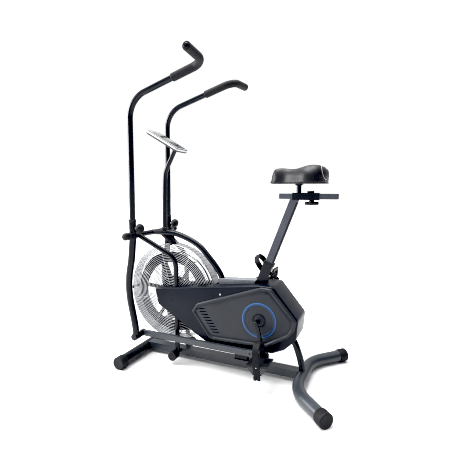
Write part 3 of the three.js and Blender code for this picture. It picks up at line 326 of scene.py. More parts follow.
strap_rubber = coated("strap_rubber", (0.004, 0.004, 0.005), (0.010, 0.010, 0.011), 0.5, 1.2, 0.06,
                      specular=SOFT)
fan_paint = coated("fan_paint", (0.0008, 0.0008, 0.001), (0.002, 0.002, 0.003), 0.5, 1.2, 0.04,
                   specular=SOFT)
# Light grey for the pedal fins: a painted highlight on the pedal's black plastic.
rib_plastic = coated("rib_plastic", (0.06, 0.064, 0.072), (0.10, 0.105, 0.115), 0.36, 0.8, 0.05)
console_shell = coated("console_shell", (0.60, 0.62, 0.64), (0.74, 0.75, 0.76), 0.26, 0.5, 0.01,
                       coat=0.2)
console_face = coated("console_face", (0.22, 0.23, 0.24), (0.34, 0.35, 0.36), 0.34, 0.6, 0.02)
console_back = coated("console_back", (0.020, 0.021, 0.022), (0.040, 0.041, 0.042), 0.4, 0.6, 0.03,
                      specular=SATIN)
trim_grey = coated("trim_grey", (0.30, 0.30, 0.31), (0.42, 0.42, 0.43), 0.4, 0.6, 0.03)
steel = coated("steel", (0.36, 0.37, 0.38), (0.55, 0.56, 0.57), 0.22, 0.5, 0.01, metallic=1.0)
wire_chrome = coated("wire_chrome", (0.40, 0.41, 0.43), (0.58, 0.59, 0.61), 0.34, 2.0, 0.01,
                     metallic=0.9)
print("finishes so far:", len(bpy.data.materials))

# %% [markdown]
# Foam and vinyl need their own grain. Foam is a field of closed cells, which a Voronoi texture draws well.
# Vinyl is pressed with a leather grain: soft cushions between creases, so the distance to the edge of each
# cell is the height. The accent ring fades from a bright outer edge inwards, by its distance from the crank.

# %% Foam, vinyl, the accent ring and the display


def foam_recipe(point):
    cells = point.node("ShaderNodeTexVoronoi", None, {"Vector": point, "Scale": 620.0}, "Distance")
    slow = steps(noise(point, 12.0, 3.0), 0.35, 0.65)
    return {"Base Color": blend(slow, (0.004, 0.004, 0.005), (0.011, 0.011, 0.011)),
            "Roughness": 0.6 + slow * 0.12,
            "Normal": bump(cells + noise(point, 240.0, 3.0), 0.16)}


grip_foam = finish("grip_foam", {"Specular IOR Level": SATIN}, foam_recipe)


def vinyl_recipe(point):
    creases = point.node("ShaderNodeTexVoronoi", {"feature": "DISTANCE_TO_EDGE"},
                         {"Vector": point, "Scale": 420.0}, "Distance")
    slow = steps(noise(point, 9.0, 2.0), 0.3, 0.7)
    cushions = steps(creases, 0.0, 0.25)
    return {"Base Color": blend(slow, (0.005, 0.005, 0.006), (0.011, 0.011, 0.013)),
            "Roughness": 0.44 + slow * 0.06 - cushions * 0.04,
            "Normal": bump(cushions, 0.03)}


saddle_vinyl = finish("saddle_vinyl", {"Specular IOR Level": 0.30}, vinyl_recipe)

ACCENT_INNER, ACCENT_OUTER = 73, 88


def accent_recipe(point):
    apart = point.node("ShaderNodeVectorMath", {"operation": "SUBTRACT"},
                       {0: point, 1: CRANK_MIDDLE})
    flat = apart.node("ShaderNodeVectorMath", {"operation": "MULTIPLY"}, {0: apart, 1: (1, 0, 1)})
    radius = flat.node("ShaderNodeVectorMath", {"operation": "LENGTH"}, {0: flat}, "Value")
    edge = steps(radius, (ACCENT_OUTER - 5) * MM, (ACCENT_OUTER - 1) * MM)
    body = steps(radius, ACCENT_INNER * MM, (ACCENT_OUTER - 4) * MM)
    deep = blend(body, (0.008, 0.016, 0.040), (0.010, 0.042, 0.125))
    return {"Base Color": blend(edge, deep, (0.026, 0.130, 0.350)),
            "Roughness": 0.34 + noise(point, 300.0) * 0.1}


accent_blue = finish("accent_blue", {"Specular IOR Level": 0.4}, accent_recipe)


def display_recipe(point):
    haze = steps(noise(point, 30.0, 2.0), 0.3, 0.7)
    return {"Base Color": blend(haze, (0.055, 0.060, 0.055), (0.090, 0.098, 0.088)),
            "Roughness": 0.08 + haze * 0.04}


display_glass = finish("display_glass", {"Coat Weight": 0.5}, display_recipe)
# A flat black: the own black of the small screw heads, and painted shade where it stands for the post's holes
# and its rear side.
hole_black = coated("hole_black", (0.002, 0.002, 0.002), (0.004, 0.004, 0.005), 0.8, 2.0, 0.02)


def floor_recipe(point):
    return {"Base Color": blend(noise(point, 3.0), (0.80, 0.80, 0.80), (0.84, 0.84, 0.84)),
            "Roughness": 0.5 + noise(point, 40.0) * 0.1}


floor_finish = finish("floor_finish", {"Specular IOR Level": 0.2}, floor_recipe)

# %% [markdown]
# ## Shapes from mesh code
# Nearly everything on the bike is one of four things: a round tube along a path, a shape turned on an axis,
# a plate cut from an outline, or a welded block with softened edges. One helper makes each of them. A piece
# keeps its object at the origin, with its place in its mesh, so that patterns don't slide when it moves.

# %% Mesh helpers
SMOOTH_ANGLE = math.radians(35)
POINT_R, MERGE_RING = 1e-4, 1e-6


def piece_from(bm, name, material):
    """Closes a bmesh into a named object, with sharp edges only where faces turn by more than 35 degrees."""
    bmesh.ops.recalc_face_normals(bm, faces=bm.faces)
    mesh = bpy.data.meshes.new(name)
    bm.to_mesh(mesh)
    bm.free()
    return piece_of_mesh(mesh, name, material)


def piece_of_mesh(mesh, name, material):
    mesh.materials.clear()
    mesh.materials.append(material)
    mesh.shade_smooth()
    mesh.set_sharp_from_angle(angle=SMOOTH_ANGLE)
    piece = bpy.data.objects.new(name, mesh)
    bpy.context.collection.objects.link(piece)
    return piece


def ring_faces(bm, rings, closed=False):
    """Joins rings of vertices with quads; the last ring joins the first, or both ends get a cap."""
    pairs = list(zip(rings, rings[1:]))
    if closed:
        pairs.append((rings[-1], rings[0]))
    for low, high in pairs:
        count = len(low)
        for i in range(count):
            j = (i + 1) % count
            bm.faces.new((low[i], low[j], high[j], high[i]))
    if not closed:
        bm.faces.new(rings[0])
        bm.faces.new(rings[-1])


def circle(bm, middle, across, up, reach, sides):
    """A ring of new vertices round a middle; reach is in metres."""
    turns = [2 * math.pi * k / sides for k in range(sides)]
    return [bm.verts.new(middle + (across * math.cos(a) + up * math.sin(a)) * reach) for a in turns]


def tube(name, stations, radius, material, sides=36):
    """A round bar with flat ends through stations; the radius is in millimetres."""
    bm = bmesh.new()
    points = [Vector(p) for p in stations]
    headings = []
    for i in range(len(points)):
        way = Vector()
        if i > 0:
            way += (points[i] - points[i - 1]).normalized()
        if i < len(points) - 1:
            way += (points[i + 1] - points[i]).normalized()
        headings.append(way.normalized())
    across = headings[0].orthogonal().normalized()
    rings = []
    previous = headings[0]
    for place, heading in zip(points, headings):
        across = previous.rotation_difference(heading) @ across
        across = (across - across.dot(heading) * heading).normalized()
        previous = heading
        rings.append(circle(bm, place, across, heading.cross(across), radius * MM, sides))
    ring_faces(bm, rings)
    return piece_from(bm, name, material)


def turned(name, profile, origin, axis, material, sides=64, loop=False):
    """A profile of (radius, height) pairs turned about an axis; `loop` joins its end to its start."""
    bm = bmesh.new()
    axis = Vector(axis).normalized()
    across = axis.orthogonal().normalized()
    up = axis.cross(across)
    rings = []
    for radius, height in profile:
        middle = Vector(origin) + axis * height * MM
        rings.append(circle(bm, middle, across, up, max(radius, POINT_R) * MM, sides))
    ring_faces(bm, rings, loop)
    if not loop:
        bmesh.ops.remove_doubles(bm, verts=bm.verts, dist=MERGE_RING)
    return piece_from(bm, name, material)


def bent(corners, radii, count=10):
    """Stations of straight runs with a round bend at each inner corner; corners are vectors in metres."""
    stations = [corners[0]]
    for corner, before, after, radius in zip(corners[1:-1], corners, corners[2:], radii):
        back = (before - corner).normalized()
        on = (after - corner).normalized()
        half = back.angle(on) / 2
        centre = corner + (back + on).normalized() * radius * MM / math.sin(half)
        start = corner + back * radius * MM / math.tan(half) - centre
        end = corner + on * radius * MM / math.tan(half) - centre
        turn = start.rotation_difference(end)
        stations += [Quaternion().slerp(turn, k / count) @ start + centre for k in range(count + 1)]
    stations.append(corners[-1])
    return stations


SPAN_STEPS = 8


def smooth(points):
    """Stations on one smooth line through the points, with evenly eased corners."""
    ends = [2 * points[0] - points[1]] + list(points) + [2 * points[-1] - points[-2]]
    stations = []
    for a, b, c, d in zip(ends, ends[1:], ends[2:], ends[3:]):
        for k in range(SPAN_STEPS):
            t = k / SPAN_STEPS
            stations.append(0.5 * ((2 * b) + (c - a) * t + (2 * a - 5 * b + 4 * c - d) * t * t
                                   + (3 * b - a - 3 * c + d) * t ** 3))
    stations.append(points[-1])
    return stations


def smooth_line(points, y=0):
    """A smooth line through (x, z) points, at one distance from the middle plane."""
    return smooth([at(x, y, z) for x, z in points])


# %% [markdown]
# Outlines are lists of (x, z) pairs in millimetres. `rounded` swaps each corner for a soft arc, and
# `inset_rounded` moves the corners inwards first, so that walls and steps keep one width all round.

# %% Outline helpers


def inset(points, distance):
    """The outline with every edge moved inwards (towards its middle) by a distance."""
    area = sum(x0 * z1 - x1 * z0 for (x0, z0), (x1, z1) in zip(points, points[1:] + points[:1]))
    side = 1 if area > 0 else -1
    out = []
    for i, (x, z) in enumerate(points):
        before = Vector((x - points[i - 1][0], z - points[i - 1][1])).normalized()
        after_x, after_z = points[(i + 1) % len(points)]
        after = Vector((after_x - x, after_z - z)).normalized()
        normals = [Vector((-v.y, v.x)) * side for v in (before, after)]
        middle = (normals[0] + normals[1]).normalized()
        reach = distance / max(0.4, middle.dot(normals[0]))
        out.append((x + middle.x * reach, z + middle.y * reach))
    return out


def rounded(points, radii, count=6):
    """The outline with each corner replaced by an arc."""
    out = []
    for i, (x, z) in enumerate(points):
        corner = Vector((x, z))
        back = (Vector(points[i - 1]) - corner).normalized()
        on = (Vector(points[(i + 1) % len(points)]) - corner).normalized()
        half = back.angle(on) / 2
        reach = radii[i] / math.tan(half)
        start, end = corner + back * reach, corner + on * reach
        for k in range(count + 1):
            t = k / count
            p = start * (1 - t) ** 2 + corner * 2 * t * (1 - t) + end * t * t
            out.append((p.x, p.y))
    return out


def inset_rounded(points, radii, distance, count=6):
    return rounded(inset(points, distance), [max(4, r - distance) for r in radii], count)


def terraced(name, loops, material, side=1):
    """A solid built up from outlines at rising distances from the middle plane: [(outline, y), ...]."""
    bm = bmesh.new()
    rings = [[bm.verts.new(at(x, side * y, z)) for x, z in outline] for outline, y in loops]
    ring_faces(bm, rings)
    return piece_from(bm, name, material)


def plate(name, outline, y0, y1, material, edge=1.0):
    """A flat plate across Y with a small round on both of its outer edges."""
    rising = [(edge, y0), (edge * 0.3, y0 + edge * 0.3), (0, y0 + edge),
              (0, y1 - edge), (edge * 0.3, y1 - edge * 0.3), (edge, y1)]
    return terraced(name, [(inset(outline, step) if step else outline, y) for step, y in rising], material)


# %% [markdown]
# Welded blocks, cast arms and machined parts already have their true shape in the construction model. We
# copy such a node, merge its loose triangles, clear the flat seams and let a Bevel modifier soften its edges:
# a real edge always catches a line of light. `carve` cuts one piece by others.

# %% Copies of construction nodes, and cuts
MERGE_LOOSE, SEAM_ANGLE, EDGE_DEGREES = 2e-5, math.radians(0.8), 38


def soften(piece, width, segments=3, angle=30):
    """Rounds the edges where faces turn by more than an angle; the width is in millimetres."""
    bevel = piece.modifiers.new("edges", "BEVEL")
    bevel.width = width * MM
    bevel.segments = segments
    bevel.limit_method = "ANGLE"
    bevel.angle_limit = math.radians(angle)
    return piece


def refined(node, material, width=1.5, segments=3):
    """A copy of a construction node with its edges rounded; it stands for that node."""
    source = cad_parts[node]
    bm = bmesh.new()
    bm.from_mesh(source.data)
    bm.transform(source.matrix_world)
    bmesh.ops.remove_doubles(bm, verts=bm.verts, dist=MERGE_LOOSE)
    bmesh.ops.dissolve_limit(bm, angle_limit=SEAM_ANGLE, verts=bm.verts, edges=bm.edges)
    return soften(piece_from(bm, node + "_finished", material), width, segments, EDGE_DEGREES)


def evaluated_mesh(holder):
    """A plain mesh of an object as its modifiers leave it."""
    depsgraph = bpy.context.evaluated_depsgraph_get()
    depsgraph.update()
    return bpy.data.meshes.new_from_object(holder.evaluated_get(depsgraph))


def carve(piece, *cutters):
    """Cuts the piece by each cutter, which is then thrown away."""
    for cutter in cutters:
        cut = piece.modifiers.new("cut", "BOOLEAN")
        cut.operation = "DIFFERENCE"
        cut.solver = "EXACT"
        cut.object = cutter
    mesh = evaluated_mesh(piece)
    material = piece.data.materials[0]
    name = piece.name
    for used in (piece, *cutters):
        bpy.data.objects.remove(used)
    return piece_of_mesh(mesh, name, material)


# %% Riding, and a list of what was made
MADE = []


def fit(piece, body, slot, *nodes):
    """The piece rides on a body and may stand for construction nodes; the slot is not used."""
    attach(piece, body)
    if nodes:
        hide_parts(*nodes)
    MADE.append(piece.name)
    return piece


# %% [markdown]
# ## Two growers for what repeats
# Ribs, bolts, lobes and paddles sit at even steps round an axis; teeth, treads, slots and links sit at even
# steps along a line. Two Geometry Nodes trees cover both. Each one places copies of a small part, makes them
# real geometry and gives them their material.

# %% The grower trees


def new_tree(name, sockets):
    """A geometry tree with named inputs; returns its start wire, its inputs by name and a closing call."""
    tree = bpy.data.node_groups.new(name, "GeometryNodeTree")
    tree.is_modifier = True
    tree.interface.new_socket("Geometry", in_out="INPUT", socket_type="NodeSocketGeometry")
    tree.interface.new_socket("Geometry", in_out="OUTPUT", socket_type="NodeSocketGeometry")
    for socket, kind in sockets.items():
        tree.interface.new_socket(socket, in_out="INPUT", socket_type="NodeSocket" + kind)
    group_in = tree.nodes.new("NodeGroupInput")
    group_out = tree.nodes.new("NodeGroupOutput")
    given = {item.name: Wire(tree, item) for item in group_in.outputs if item.name}

    def close(geometry):
        real = geometry.grow("RealizeInstances", {0: geometry})
        coated_geometry = real.grow("SetMaterial", {"Geometry": real, "Material": given["Material"]})
        tree.links.new(coated_geometry.socket, group_out.inputs[0])

    return tree, Wire(tree), given, close


def ring_tree():
    """Copies of Part round Z, each turned to face outwards."""
    tree, start, given, close = new_tree("ring_of", {
        "Part": "Object", "Count": "Int", "Radius": "Float", "Phase": "Float", "Material": "Material"})
    index = start.grow("InputIndex")
    angle = given["Phase"] + index * (2 * math.pi) / given["Count"]
    place = start.vector({
        0: angle.maths("COSINE", angle) * given["Radius"], 1: angle.maths("SINE", angle) * given["Radius"]})
    points = start.grow("Points", {"Count": given["Count"], "Position": place})
    part = start.grow("ObjectInfo", {"Object": given["Part"]}, "Geometry")
    turn = start.vector({2: angle})
    close(points.grow("InstanceOnPoints", {"Points": points, "Instance": part, "Rotation": turn}))
    return tree


def path_tree():
    """Copies of Part at even steps along a curve, turned with it about X or about Y, or not at all."""
    tree, start, given, close = new_tree("along_path", {
        "Part": "Object", "Count": "Int", "Turn X": "Float", "Turn Y": "Float", "Material": "Material"})
    points = start.grow("CurveToPoints", {
        "Curve": given["Geometry"], "Count": given["Count"]}, "Points")
    tangent = Wire(tree, points.socket.node.outputs["Tangent"])
    along_x, along_y, along_z = (tangent.axis(number) for number in range(3))
    about_x = given["Turn X"] * start.maths("ARCTAN2", along_z, along_y)
    about_y = given["Turn Y"] * start.maths("ARCTAN2", along_z, along_x) * -1.0
    turn = start.vector({0: about_x, 1: about_y})
    part = start.grow("ObjectInfo", {"Object": given["Part"]}, "Geometry")
    close(points.grow("InstanceOnPoints", {"Points": points, "Instance": part, "Rotation": turn}))
    return tree


RING_OF = ring_tree()
ALONG_PATH = path_tree()


def grown(name, tree, settings, matrix=None, holder=None):
    """Runs a tree with named settings and returns the result as a plain mesh piece."""
    if holder is None:
        holder = bpy.data.objects.new(name + "_holder", bpy.data.meshes.new(name))
        bpy.context.collection.objects.link(holder)
    modifier = holder.modifiers.new("grow", "NODES")
    modifier.node_group = tree
    for item in tree.interface.items_tree:
        if item.in_out == "INPUT" and item.name in settings:
            modifier[item.identifier] = settings[item.name]
    mesh = evaluated_mesh(holder)
    holder.modifiers.remove(modifier)
    bpy.data.objects.remove(holder)
    if matrix is not None:
        mesh.transform(matrix)
    return piece_of_mesh(mesh, name, settings["Material"])


def axis_frame(place, axis, across=None):
    """A matrix that puts local Z on an axis through a place, and local X near `across`."""
    z = Vector(axis).normalized()
    x = Vector(across).normalized() if across else z.orthogonal().normalized()
    x = (x - x.dot(z) * z).normalized()
    y = z.cross(x)
    return Matrix.Translation(place) @ Matrix((x, y, z)).transposed().to_4x4()


def ring_of(name, part, count, radius, place, axis, material, phase=0.0):
    """`count` copies of a part round an axis; the part is thrown away afterwards."""
    settings = {"Part": part, "Count": count, "Radius": radius * MM, "Phase": phase, "Material": material}
    piece = grown(name, RING_OF, settings, axis_frame(place, axis))
    bpy.data.objects.remove(part)
    return piece


def along(name, part, count, stations, material, about="", closed=False):
    """`count` copies of a part along a path of stations, turned with it about one axis if asked."""
    curve = bpy.data.curves.new(name + "_path", "CURVE")
    curve.dimensions = "3D"
    spline = curve.splines.new("POLY")
    spline.points.add(len(stations) - 1)
    for point, station in zip(spline.points, stations):
        point.co = (*station, 1.0)
    spline.use_cyclic_u = closed
    holder = bpy.data.objects.new(name + "_holder", curve)
    bpy.context.collection.objects.link(holder)
    settings = {"Part": part, "Count": count, "Material": material,
                "Turn X": float(about == "X"), "Turn Y": float(about == "Y")}
    piece = grown(name, ALONG_PATH, settings, None, holder)
    bpy.data.objects.remove(part)
    return piece


def cuboid(name, place_of, material, soft=0.0, count=2):
    """A box whose corners, half a unit from the middle, are moved by place_of; `soft` rounds its edges."""
    bm = bmesh.new()
    bmesh.ops.create_cube(bm, size=1.0)
    for vert in bm.verts:
        vert.co = place_of(*vert.co)
    if soft:
        bmesh.ops.bevel(bm, geom=list(bm.edges), offset=soft * MM, segments=count, affect="EDGES",
                        profile=0.5, clamp_overlap=True)
    return piece_from(bm, name, material)


def placed(part, name, matrix):
    """The part moved by a matrix, under a name of its own."""
    part.data.transform(matrix)
    part.name = name
    return part


def block(size, soft, material, count=2):
    """A small block about the origin with rounded edges, sizes in millimetres; a part for the growers."""
    return cuboid("part", lambda *corner: Vector(c * s * MM for c, s in zip(corner, size)), material, soft,
                  count)


# %% [markdown]
# ## The feet
# The bike stands on two wide tubes. The front one is straight; the rear one is bent twice, so that its ends
# reach back under the rider. Each end wears a moulded rubber cap, whose ribs stop it from slipping.

# %% Foot tubes
FOOT_R, CAP_R, CAP_LENGTH, CAP_RIBS, CAP_LAP = 30, 35, 46, 30, 10
FOOT_Z = centre_of("front_foot_cap_left")[2]
FRONT_FOOT_X = centre_of("front_foot_tube")[0]
FRONT_FOOT_HALF = 272
REAR_FOOT_X = 884
REAR_STRAIGHT, REAR_BEND, REAR_TURN, REAR_LEG = 70, 200, math.radians(45), 152

front_ends = [at(FRONT_FOOT_X, side * (FRONT_FOOT_HALF - CAP_LAP), FOOT_Z) for side in (-1, 1)]
fit(tube("front_foot", front_ends, FOOT_R, frame_paint, 48), "frame", "black_paint", "front_foot_tube")

bend_end = Vector((REAR_FOOT_X + REAR_BEND * (1 - math.cos(REAR_TURN)),
                   REAR_STRAIGHT + REAR_BEND * math.sin(REAR_TURN)))
leg_way = Vector((math.sin(REAR_TURN), math.cos(REAR_TURN)))
rear_tip = bend_end + leg_way * REAR_LEG
tube_tip = bend_end + leg_way * (REAR_LEG - 9)
corner_y = REAR_STRAIGHT + REAR_BEND * math.tan(REAR_TURN / 2)
rear_path = bent([at(tube_tip.x, -tube_tip.y, FOOT_Z), at(REAR_FOOT_X, -corner_y, FOOT_Z),
                  at(REAR_FOOT_X, corner_y, FOOT_Z), at(tube_tip.x, tube_tip.y, FOOT_Z)],
                 [REAR_BEND, REAR_BEND], 16)
# The rear foot takes the lighter rail paint: a painted highlight on the same black paint as the front foot.
fit(tube("rear_foot", rear_path, FOOT_R, rail_paint, 48), "frame", "black_paint", "rear_foot_tube")

# %% End caps with ribs


def foot_cap(name, tip, way, node):
    """A rubber cap whose closed end is at tip and which faces along way; ribs run round its skirt."""
    profile = [(0, -6.8), (FOOT_R + 0.4, -6.8), (FOOT_R + 0.4, -CAP_LENGTH), (CAP_R - 2.2, -CAP_LENGTH),
               (CAP_R - 1.6, -CAP_LENGTH + 1.2), (CAP_R - 1.6, -13), (CAP_R - 0.6, -12),
               (CAP_R - 0.5, -3.6),
               (CAP_R - 1.6, -1.4), (CAP_R - 4, -0.4), (CAP_R - 9, 0), (CAP_R - 13, -0.9), (0, -0.9)]
    cap = turned(name, profile, tip, way, rubber_black, 72)
    fit(cap, "frame", "rubber", node)
    rib = block((1.6, 3.2, 30), 0.7, rubber_black)
    ribs = ring_of(name + "_ribs", rib, CAP_RIBS, CAP_R - 1.5, tip - way * 29 * MM, way, rubber_black)
    fit(ribs, "frame", "rubber")


for side, word in SIDES:
    foot_cap(f"front_cap_{word}", at(FRONT_FOOT_X, side * FRONT_FOOT_HALF, FOOT_Z), Y_AXIS * side,
             f"front_foot_cap_{word}")
    foot_cap(f"rear_cap_{word}", at(rear_tip.x, side * rear_tip.y, FOOT_Z),
             Vector((leg_way.x, side * leg_way.y, 0)), f"rear_foot_cap_{word}")
print("feet:", MADE)

# %% [markdown]
# ## The frame
# A flat rail ties the feet. Two fork tubes drop from the cross tube, hug the fan and end at the foot peg bar.
# A hoop arches over the fan to the main beam, and a bent leg runs from the crank shell down to the rear foot.

# %% Rail, beam, bracket and seat tube
# The base rail's lighter paint is partly a painted highlight.
for node, material, slot, width in (
        ("base_rail", rail_paint, "black_paint", 3.0),
        ("main_beam", beam_paint, "grey_paint", 3.0),
        ("centre_bracket", frame_paint, "black_paint", 1.5),
        ("cross_tube", frame_paint, "black_paint", 1.0),
        ("foot_peg_bar", frame_paint, "black_paint", 0.8)):
    fit(refined(node, material, width), "frame", slot, node)

# %% Fork tubes with their dropout plates
FORK_R, FORK_X, FORK_Y, PEG_Z = 12.7, 190, 56, 51
FORK_TOP_Y, FORK_BEND_Z, FORK_BEND = 126, 585, 90


def fork_path(side, count):
    return bent([at(0, side * FORK_TOP_Y, PIVOT_Z), at(FORK_X, side * FORK_Y, FORK_BEND_Z),
                 at(FORK_X, side * FORK_Y, PEG_Z)], [FORK_BEND], count)


for side, word in SIDES:
    fit(tube(f"fork_{word}", fork_path(side, 14), FORK_R, frame_paint, 36), "frame", "black_paint",
        f"fork_tube_{word}")
    outline = rounded([(FAN_X - 20, FAN_Z - 20), (FORK_X, FAN_Z - 32), (FORK_X, FAN_Z + 32),
                       (FAN_X - 20, FAN_Z + 20)], [16, 1, 1, 16])
    fit(plate(f"dropout_{word}", outline, side * FORK_Y - 4, side * FORK_Y + 4, frame_paint), "frame",
        "black_paint")
    nut = turned(f"shaft_nut_{word}", [(0, 0), (10, 0), (11, 0.8), (11, 7.2), (10, 8), (0, 8)],
                 at(FAN_X, side * (FORK_Y + 4.2), FAN_Z), Y_AXIS * side, steel, 6)
    fit(nut, "frame", "steel")

# %% Hoop, hanger and rear leg
HOOP_R = 15
hoop_points = [(0, 714), (60, 716), (120, 717), (185, 706), (259, 678), (312, 647), (354, 605), (399, 555),
               (426, 518), (441, 488), (450, 462)]
hoop_path = smooth_line(hoop_points)
fit(tube("hoop", hoop_path, HOOP_R, frame_paint, 40), "frame", "black_paint", "hoop_tube")
hanger = plate("hanger", [(54, 706), (142, 706), (160, 656), (118, 657)], -3, 3, frame_paint, 0.8)
fit(hanger, "frame", "black_paint")

leg_points = [(690, 306), (740, 290), (800, 250), (838, 200), (862, 140), (876, 88), (881, 62)]
fit(tube("rear_leg_tube", smooth_line(leg_points), 16, frame_paint, 36), "frame",
    "black_paint", "rear_leg")

# %% Foot pegs
PEG_R, PEG_INNER, PEG_OUTER = 25, 72, 117
for side, word in SIDES:
    start = at(FORK_X, side * PEG_INNER, PEG_Z)
    length = PEG_OUTER - PEG_INNER
    profile = [(8.4, 0), (PEG_R - 3, 0), (PEG_R - 1.4, 1.5), (PEG_R - 1.4, length - 9), (PEG_R, length - 8),
               (PEG_R, length - 2), (PEG_R - 2, length), (8.4, length), (8.4, 0)]
    peg = turned(f"foot_peg_{word}_rubber", profile[:-1], start, Y_AXIS * side, rubber_black, 56, loop=True)
    fit(peg, "frame", "rubber", f"foot_peg_{word}")
    rib = block((1.5, 3.0, length - 14), 0.6, rubber_black)
    middle = at(FORK_X, side * (PEG_INNER + length / 2 - 3), PEG_Z)
    fit(ring_of(f"foot_peg_{word}_ribs", rib, 22, PEG_R - 1.3, middle, Y_AXIS, rubber_black), "frame",
        "rubber")
print("frame pieces so far:", len(MADE))

# %% [markdown]
# ## The fan guard
# The guard is a basket of plated wire: rings at one pitch over a flat face that turns in at the rim, held by
# eight radial wires. A rule makes it, so Geometry Nodes draws it: points carry the ring radii, circles are
# scaled by them, and the wire is swept along every circle at one thickness.

# %% The guard tree
GUARD_FACE, GUARD_EDGE, GUARD_RIM_R = 40, 36, 267
GUARD_RINGS, GUARD_SPOKES, GUARD_WIRE = 26, 8, 1.45
GUARD_INNER, GUARD_SHOULDER, GUARD_HUB_Y = 42, 235, 38.6


def guard_tree():
    tree, start, given, close = new_tree("wire_guard", {
        "Rings": "Int", "Inner": "Float", "Outer": "Float", "Wire": "Float", "Face": "Float",
        "Edge": "Float",
        "Shoulder": "Float", "Spokes": "Int", "Phase": "Float", "Material": "Material"})

    def height(radius):
        """Distance from the middle plane at a radius: the face, easing down past the shoulder."""
        past = (radius - given["Shoulder"]) / (given["Outer"] - given["Shoulder"])
        held = past.node("ShaderNodeClamp", None, {"Value": past})
        return given["Face"] - held * held * (given["Face"] - given["Edge"])

    index = start.grow("InputIndex")
    radius = given["Inner"] + index * (given["Outer"] - given["Inner"]) / (given["Rings"] - 1.0)
    centres = start.grow("Points", {
        "Count": given["Rings"], "Position": start.vector({2: height(radius)})})
    circle = start.grow("CurvePrimitiveCircle", {"Resolution": 96, "Radius": 1.0})
    rings = centres.grow("InstanceOnPoints", {
        "Points": centres, "Instance": circle,
        "Scale": start.vector({0: radius, 1: radius, 2: 1.0})})

    ray = start.grow("CurvePrimitiveLine", {
        "Start": start.vector({0: given["Inner"]}),
        "End": start.vector({0: given["Outer"]})})
    ray = ray.grow("ResampleCurve", {"Curve": ray, "Count": 28})
    place = start.grow("InputPosition")
    reach = place.axis(0)
    ray = ray.grow("SetPosition", {
        "Geometry": ray,
        "Position": start.vector({0: reach, 2: height(reach) - given["Wire"]})})
    hub = start.grow("Points", {"Count": given["Spokes"]})
    angle = given["Phase"] + index * (2 * math.pi) / given["Spokes"]
    rays = hub.grow("InstanceOnPoints", {
        "Points": hub, "Instance": ray, "Rotation": start.vector({2: angle})})

    both = start.grow("JoinGeometry")
    for branch in (rings, rays):
        tree.links.new(branch.socket, both.socket.node.inputs[0])
    lines = both.grow("RealizeInstances", {0: both})
    section = start.grow("CurvePrimitiveCircle", {"Resolution": 6, "Radius": given["Wire"]})
    close(lines.grow("CurveToMesh", {"Curve": lines, "Profile Curve": section}))
    return tree


WIRE_GUARD = guard_tree()
GUARD_SPOKE_TURN = math.radians(15)
for side, word in SIDES:
    place = axis_frame(FAN_MIDDLE, Y_AXIS * side, X_AXIS)
    settings = {"Rings": GUARD_RINGS, "Spokes": GUARD_SPOKES, "Wire": GUARD_WIRE * MM,
                "Inner": GUARD_INNER * MM, "Outer": GUARD_RIM_R * MM, "Shoulder": GUARD_SHOULDER * MM,
                "Face": GUARD_FACE * MM, "Edge": GUARD_EDGE * MM,
                "Phase": -side * GUARD_SPOKE_TURN, "Material": wire_chrome}
    guard = grown(f"guard_wires_{word}", WIRE_GUARD, settings, place)
    fit(guard, "frame", "guard_chrome", f"guard_{word}")
    print(guard.name, len(guard.data.polygons), "faces")
    badge = [(0, 0), (38, 0), (42, 0.6), (43, 1.6), (41, 2.2), (30, 2.6), (12, 2.8), (0, 2.9)]
    disc = turned(f"guard_hub_{word}", badge, at(FAN_X, side * GUARD_HUB_Y, FAN_Z), Y_AXIS * side,
                  fan_paint, 64)
    fit(disc, "frame", "guard_chrome")

# %% [markdown]
# The two baskets clip to a bright rim band. The band is rolled from strip, with a bead along each edge, and
# four folded clips grip it. Short cross wires tie the baskets over the band.

# %% Rim band, cross wires and clips
RIM_HALF, RIM_R = 34, 270


def brushed_recipe(point):
    """Streaks that run across the band: noise squeezed along Y."""
    squeezed = point.node("ShaderNodeMapping", None, {"Vector": point, "Scale": (260.0, 6.0, 260.0)})
    streaks = squeezed.node("ShaderNodeTexNoise", None, {"Vector": squeezed, "Scale": 1.0, "Detail": 3.0},
                            "Fac")
    return {"Base Color": blend(steps(streaks, 0.35, 0.65), (0.34, 0.35, 0.37),
                                (0.66, 0.67, 0.69)),
            "Roughness": 0.2 + streaks * 0.15,
            "Normal": bump(streaks, 0.05)}


rim_silver = finish("rim_silver", {"Metallic": 0.85}, brushed_recipe)
band = [(RIM_R - 3.5, -RIM_HALF), (RIM_R - 1.4, -RIM_HALF - 0.2), (RIM_R - 0.4, -RIM_HALF + 1.4),
        (RIM_R - 2.2, -RIM_HALF + 3.4), (RIM_R - 2.2, RIM_HALF - 3.4), (RIM_R - 0.4, RIM_HALF - 1.4),
        (RIM_R - 1.4, RIM_HALF + 0.2), (RIM_R - 3.5, RIM_HALF)]
rim = turned("guard_rim_band", band, FAN_MIDDLE, Y_AXIS, rim_silver, 128, loop=True)
fit(rim, "frame", "guard_chrome", "guard_rim")
cross_wire = block((1.6, 1.6, 2 * RIM_HALF + 4), 0.6, wire_chrome, 1)
fit(ring_of("guard_cross_wires", cross_wire, 72, RIM_R - 1.0, FAN_MIDDLE, Y_AXIS, wire_chrome),
    "frame", "guard_chrome")
clip = block((7, 16, 2 * RIM_HALF + 8), 1.6, frame_paint)
fit(ring_of("guard_clips", clip, 4, RIM_R - 2.5, FAN_MIDDLE, Y_AXIS, frame_paint,
            math.radians(45)), "frame", "guard_chrome")

# %% [markdown]
# ## The fan
# The wheel is a black disc on a hub, six paddles, one flat band near its left side and a thin stay ring
# towards its right side. The paddles are one small bent plate, repeated round the shaft by the ring tree.

# %% Fan wheel
BAND_IN, BAND_OUT, WHEEL_HALF, HUB_R = 168, 224, 34, 88


